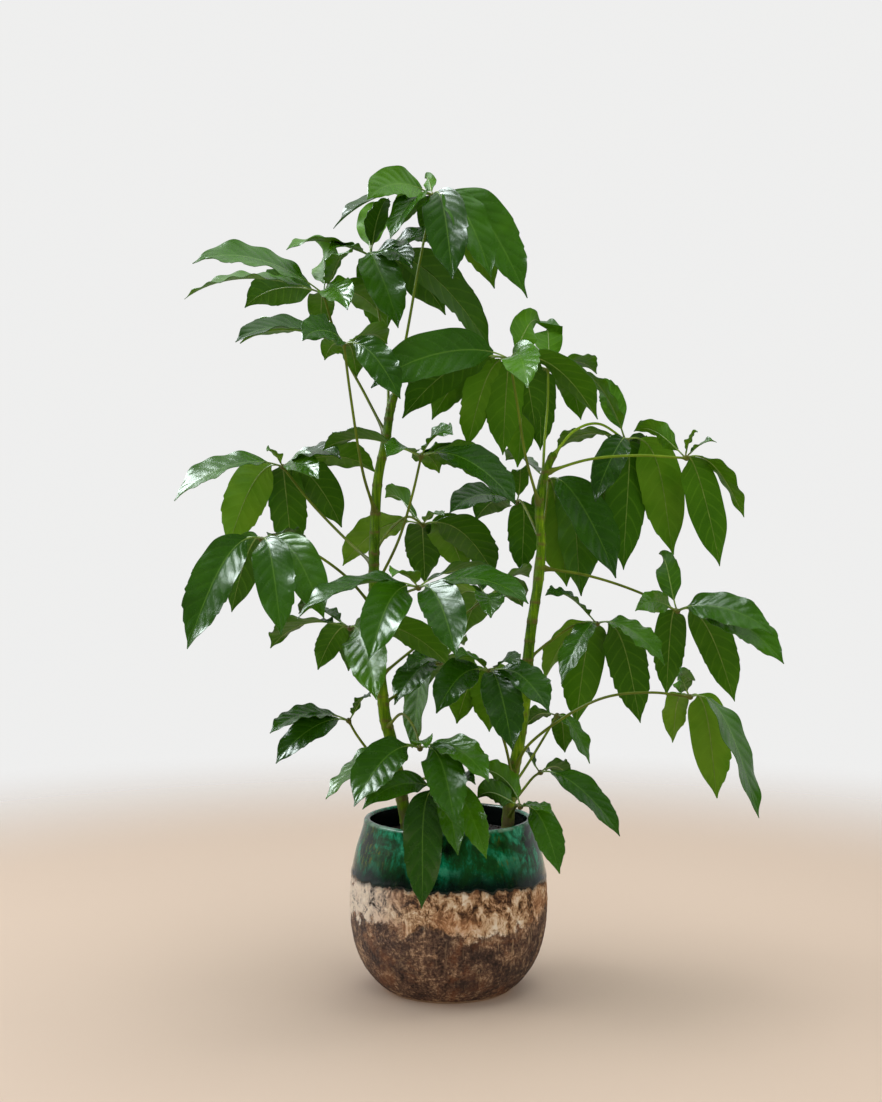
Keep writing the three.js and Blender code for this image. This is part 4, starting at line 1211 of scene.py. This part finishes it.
def make_leaf(name, leaflets, pick):
    mesh = bmesh.new()
    mesh.loops.layers.uv.new("UVMap")
    layers = layers_of(mesh, "tint", "young", "brown")
    for leaflet in leaflets:
        add_blade(mesh, leaflet, layers["tint"], pick)
    mesh.normal_update()
    made = bmesh.ops.solidify(mesh, geom=mesh.faces[:], thickness=BLADE_THICKNESS * MM)
    for face in made["geom"]:
        if isinstance(face, bmesh.types.BMFace):
            face.material_index = LOWER_SIDE
    for leaflet in leaflets:
        add_stalk(mesh, leaflet, layers["brown"])
    add_petiole(mesh, name, layers)
    stand_for(name, mesh, LEAF_FINISHES)


make_pot()
make_soil()
green_bark = trunk_finish()
for trunk_name in TRUNKS:
    make_trunk(trunk_name, green_bark)
grown_leaflets = swing_clear(grow_leaflets())
for number, leaf_name in enumerate(LEAVES):
    own = [leaflet for leaflet in grown_leaflets if leaflet["leaf"] == leaf_name]
    make_leaf(leaf_name, own, random.Random(LEAF_SEED + number))


# Pale floor, soft light and camera, in metres. The floor fades between two distances from the middle.
FLOOR_FADE = (1.1, 2.4)
FLOOR_TONE = (0.78, 0.63, 0.5, 1)
BACKDROP_TONE = (0.86, 0.86, 0.855, 1)
ROOM_TONE = (0.97, 0.98, 1.0, 1)
ROOM_SOFT = 0.42
ROOM_FRONT_SHINE = 0.06
ROOM_BACK_SHINE = 0.55
ROOM_WINDOW = (-0.72, 0.15, 0.68)
ROOM_WINDOW_SHINE = 2.2

# Each lamp: its place, the height it aims at, its size, power and tone, and whether it is for gloss only.
LAMPS = {
    "window_light": ((-2.2, -0.2, 1.5), 0.6, (2.2, 2.0), 18, (0.97, 0.98, 1.0), False),
    "ceiling_light": ((0.2, 0.2, 3.1), 0.6, (2.6, 2.6), 54, (1.0, 0.99, 0.97), False),
    "front_light": ((1.2, -3.0, 1.7), 0.6, (1.8, 1.8), 19, (1.0, 0.98, 0.95), False),
    "window_sheen": ((-1.87, 0.1, 2.5), 0.8, (1.7, 1.5), 190, (0.88, 0.95, 1.0), True),
}

# The camera stands in front at the height that the pot's ellipses give, and looks level.
CAMERA_PLACE = (-0.0115, -2.64, 0.759)
LENS = 56.3
FILM_WIDTH = 36
FRAME_SHIFT = -61 / 1102


def make_floor():
    """A round pale floor that fades into the backdrop."""
    mesh = bmesh.new()
    bmesh.ops.create_circle(mesh, cap_ends=True, segments=96, radius=FLOOR_FADE[1] + 0.1)
    finish = Finish("pale_floor")
    floor = finished("floor", mesh, [finish.painted(FLOOR_TONE, 0.6, 0.1)])
    away = finish.add("VectorMath", {"operation": "LENGTH"}, Vector=finish.place).outputs["Value"]
    fade = finish.add("MixShader", Fac=finish.step(away, *FLOOR_FADE))
    finish.feed(fade.inputs[1], finish.shader.outputs[0])
    finish.feed(fade.inputs[2], finish.add("BsdfTransparent").outputs[0])
    finish.feed(finish.tree.nodes["Material Output"].inputs["Surface"], fade.outputs[0])


def add_softbox(name, place, aim_height, size, power, tone, gloss_only):
    lamp = bpy.data.lights.new(name, "AREA")
    lamp.shape = "RECTANGLE"
    lamp.size, lamp.size_y = size
    lamp.energy = power
    lamp.color = tone
    box = in_scene(name, lamp)
    box.location = place
    aim = Vector((0, 0, aim_height)) - Vector(place)
    box.rotation_euler = aim.to_track_quat("-Z", "Y").to_euler()
    box.visible_camera = False
    box.visible_diffuse = not gloss_only
    box.visible_glossy = gloss_only


def make_room():
    """Soft light from all round, strongest from the window's side, before an even pale backdrop."""
    world = bpy.data.worlds.new("soft_room")
    world.use_nodes = True
    room = Network(world.node_tree)
    towards = room.add("TexCoord").outputs["Generated"]
    back = room.add("SeparateXYZ", Vector=towards).outputs["Y"]
    lean = room.add("VectorMath", {"operation": "DOT_PRODUCT"}, Vector=towards)
    room.feed(lean.inputs[1], ROOM_WINDOW)
    window = room.sum("POWER", room.sum("MAXIMUM", lean.outputs["Value"], 0.0), 8.0)
    walls = room.step(back, -0.3, 0.25, ROOM_FRONT_SHINE, ROOM_BACK_SHINE)
    shine = room.layered(window, ROOM_WINDOW_SHINE, walls)
    path = room.add("LightPath").outputs
    glossy, seen = path["Is Glossy Ray"], path["Is Camera Ray"]
    strength = room.times(glossy, room.sum("SUBTRACT", shine, ROOM_SOFT))
    strength = room.sum("ADD", strength, ROOM_SOFT)
    strength = room.sum("ADD", strength, room.times(seen, room.sum("SUBTRACT", 1.0, strength)))
    sky = room.tree.nodes["Background"]
    room.feed(sky.inputs["Color"], room.mix(seen, ROOM_TONE, BACKDROP_TONE))
    room.feed(sky.inputs["Strength"], strength)
    bpy.context.scene.world = world
    for name, lamp in LAMPS.items():
        add_softbox(name, *lamp)


def make_camera():
    lens = bpy.data.cameras.new("front_view")
    lens.lens = LENS
    lens.sensor_width = FILM_WIDTH
    lens.shift_y = FRAME_SHIFT
    camera = in_scene("front_view", lens)
    camera.location = CAMERA_PLACE
    camera.rotation_euler = (math.pi / 2, 0, 0)
    bpy.context.scene.camera = camera


make_floor()
make_room()
make_camera()
bpy.context.scene.view_settings.view_transform = "Standard"
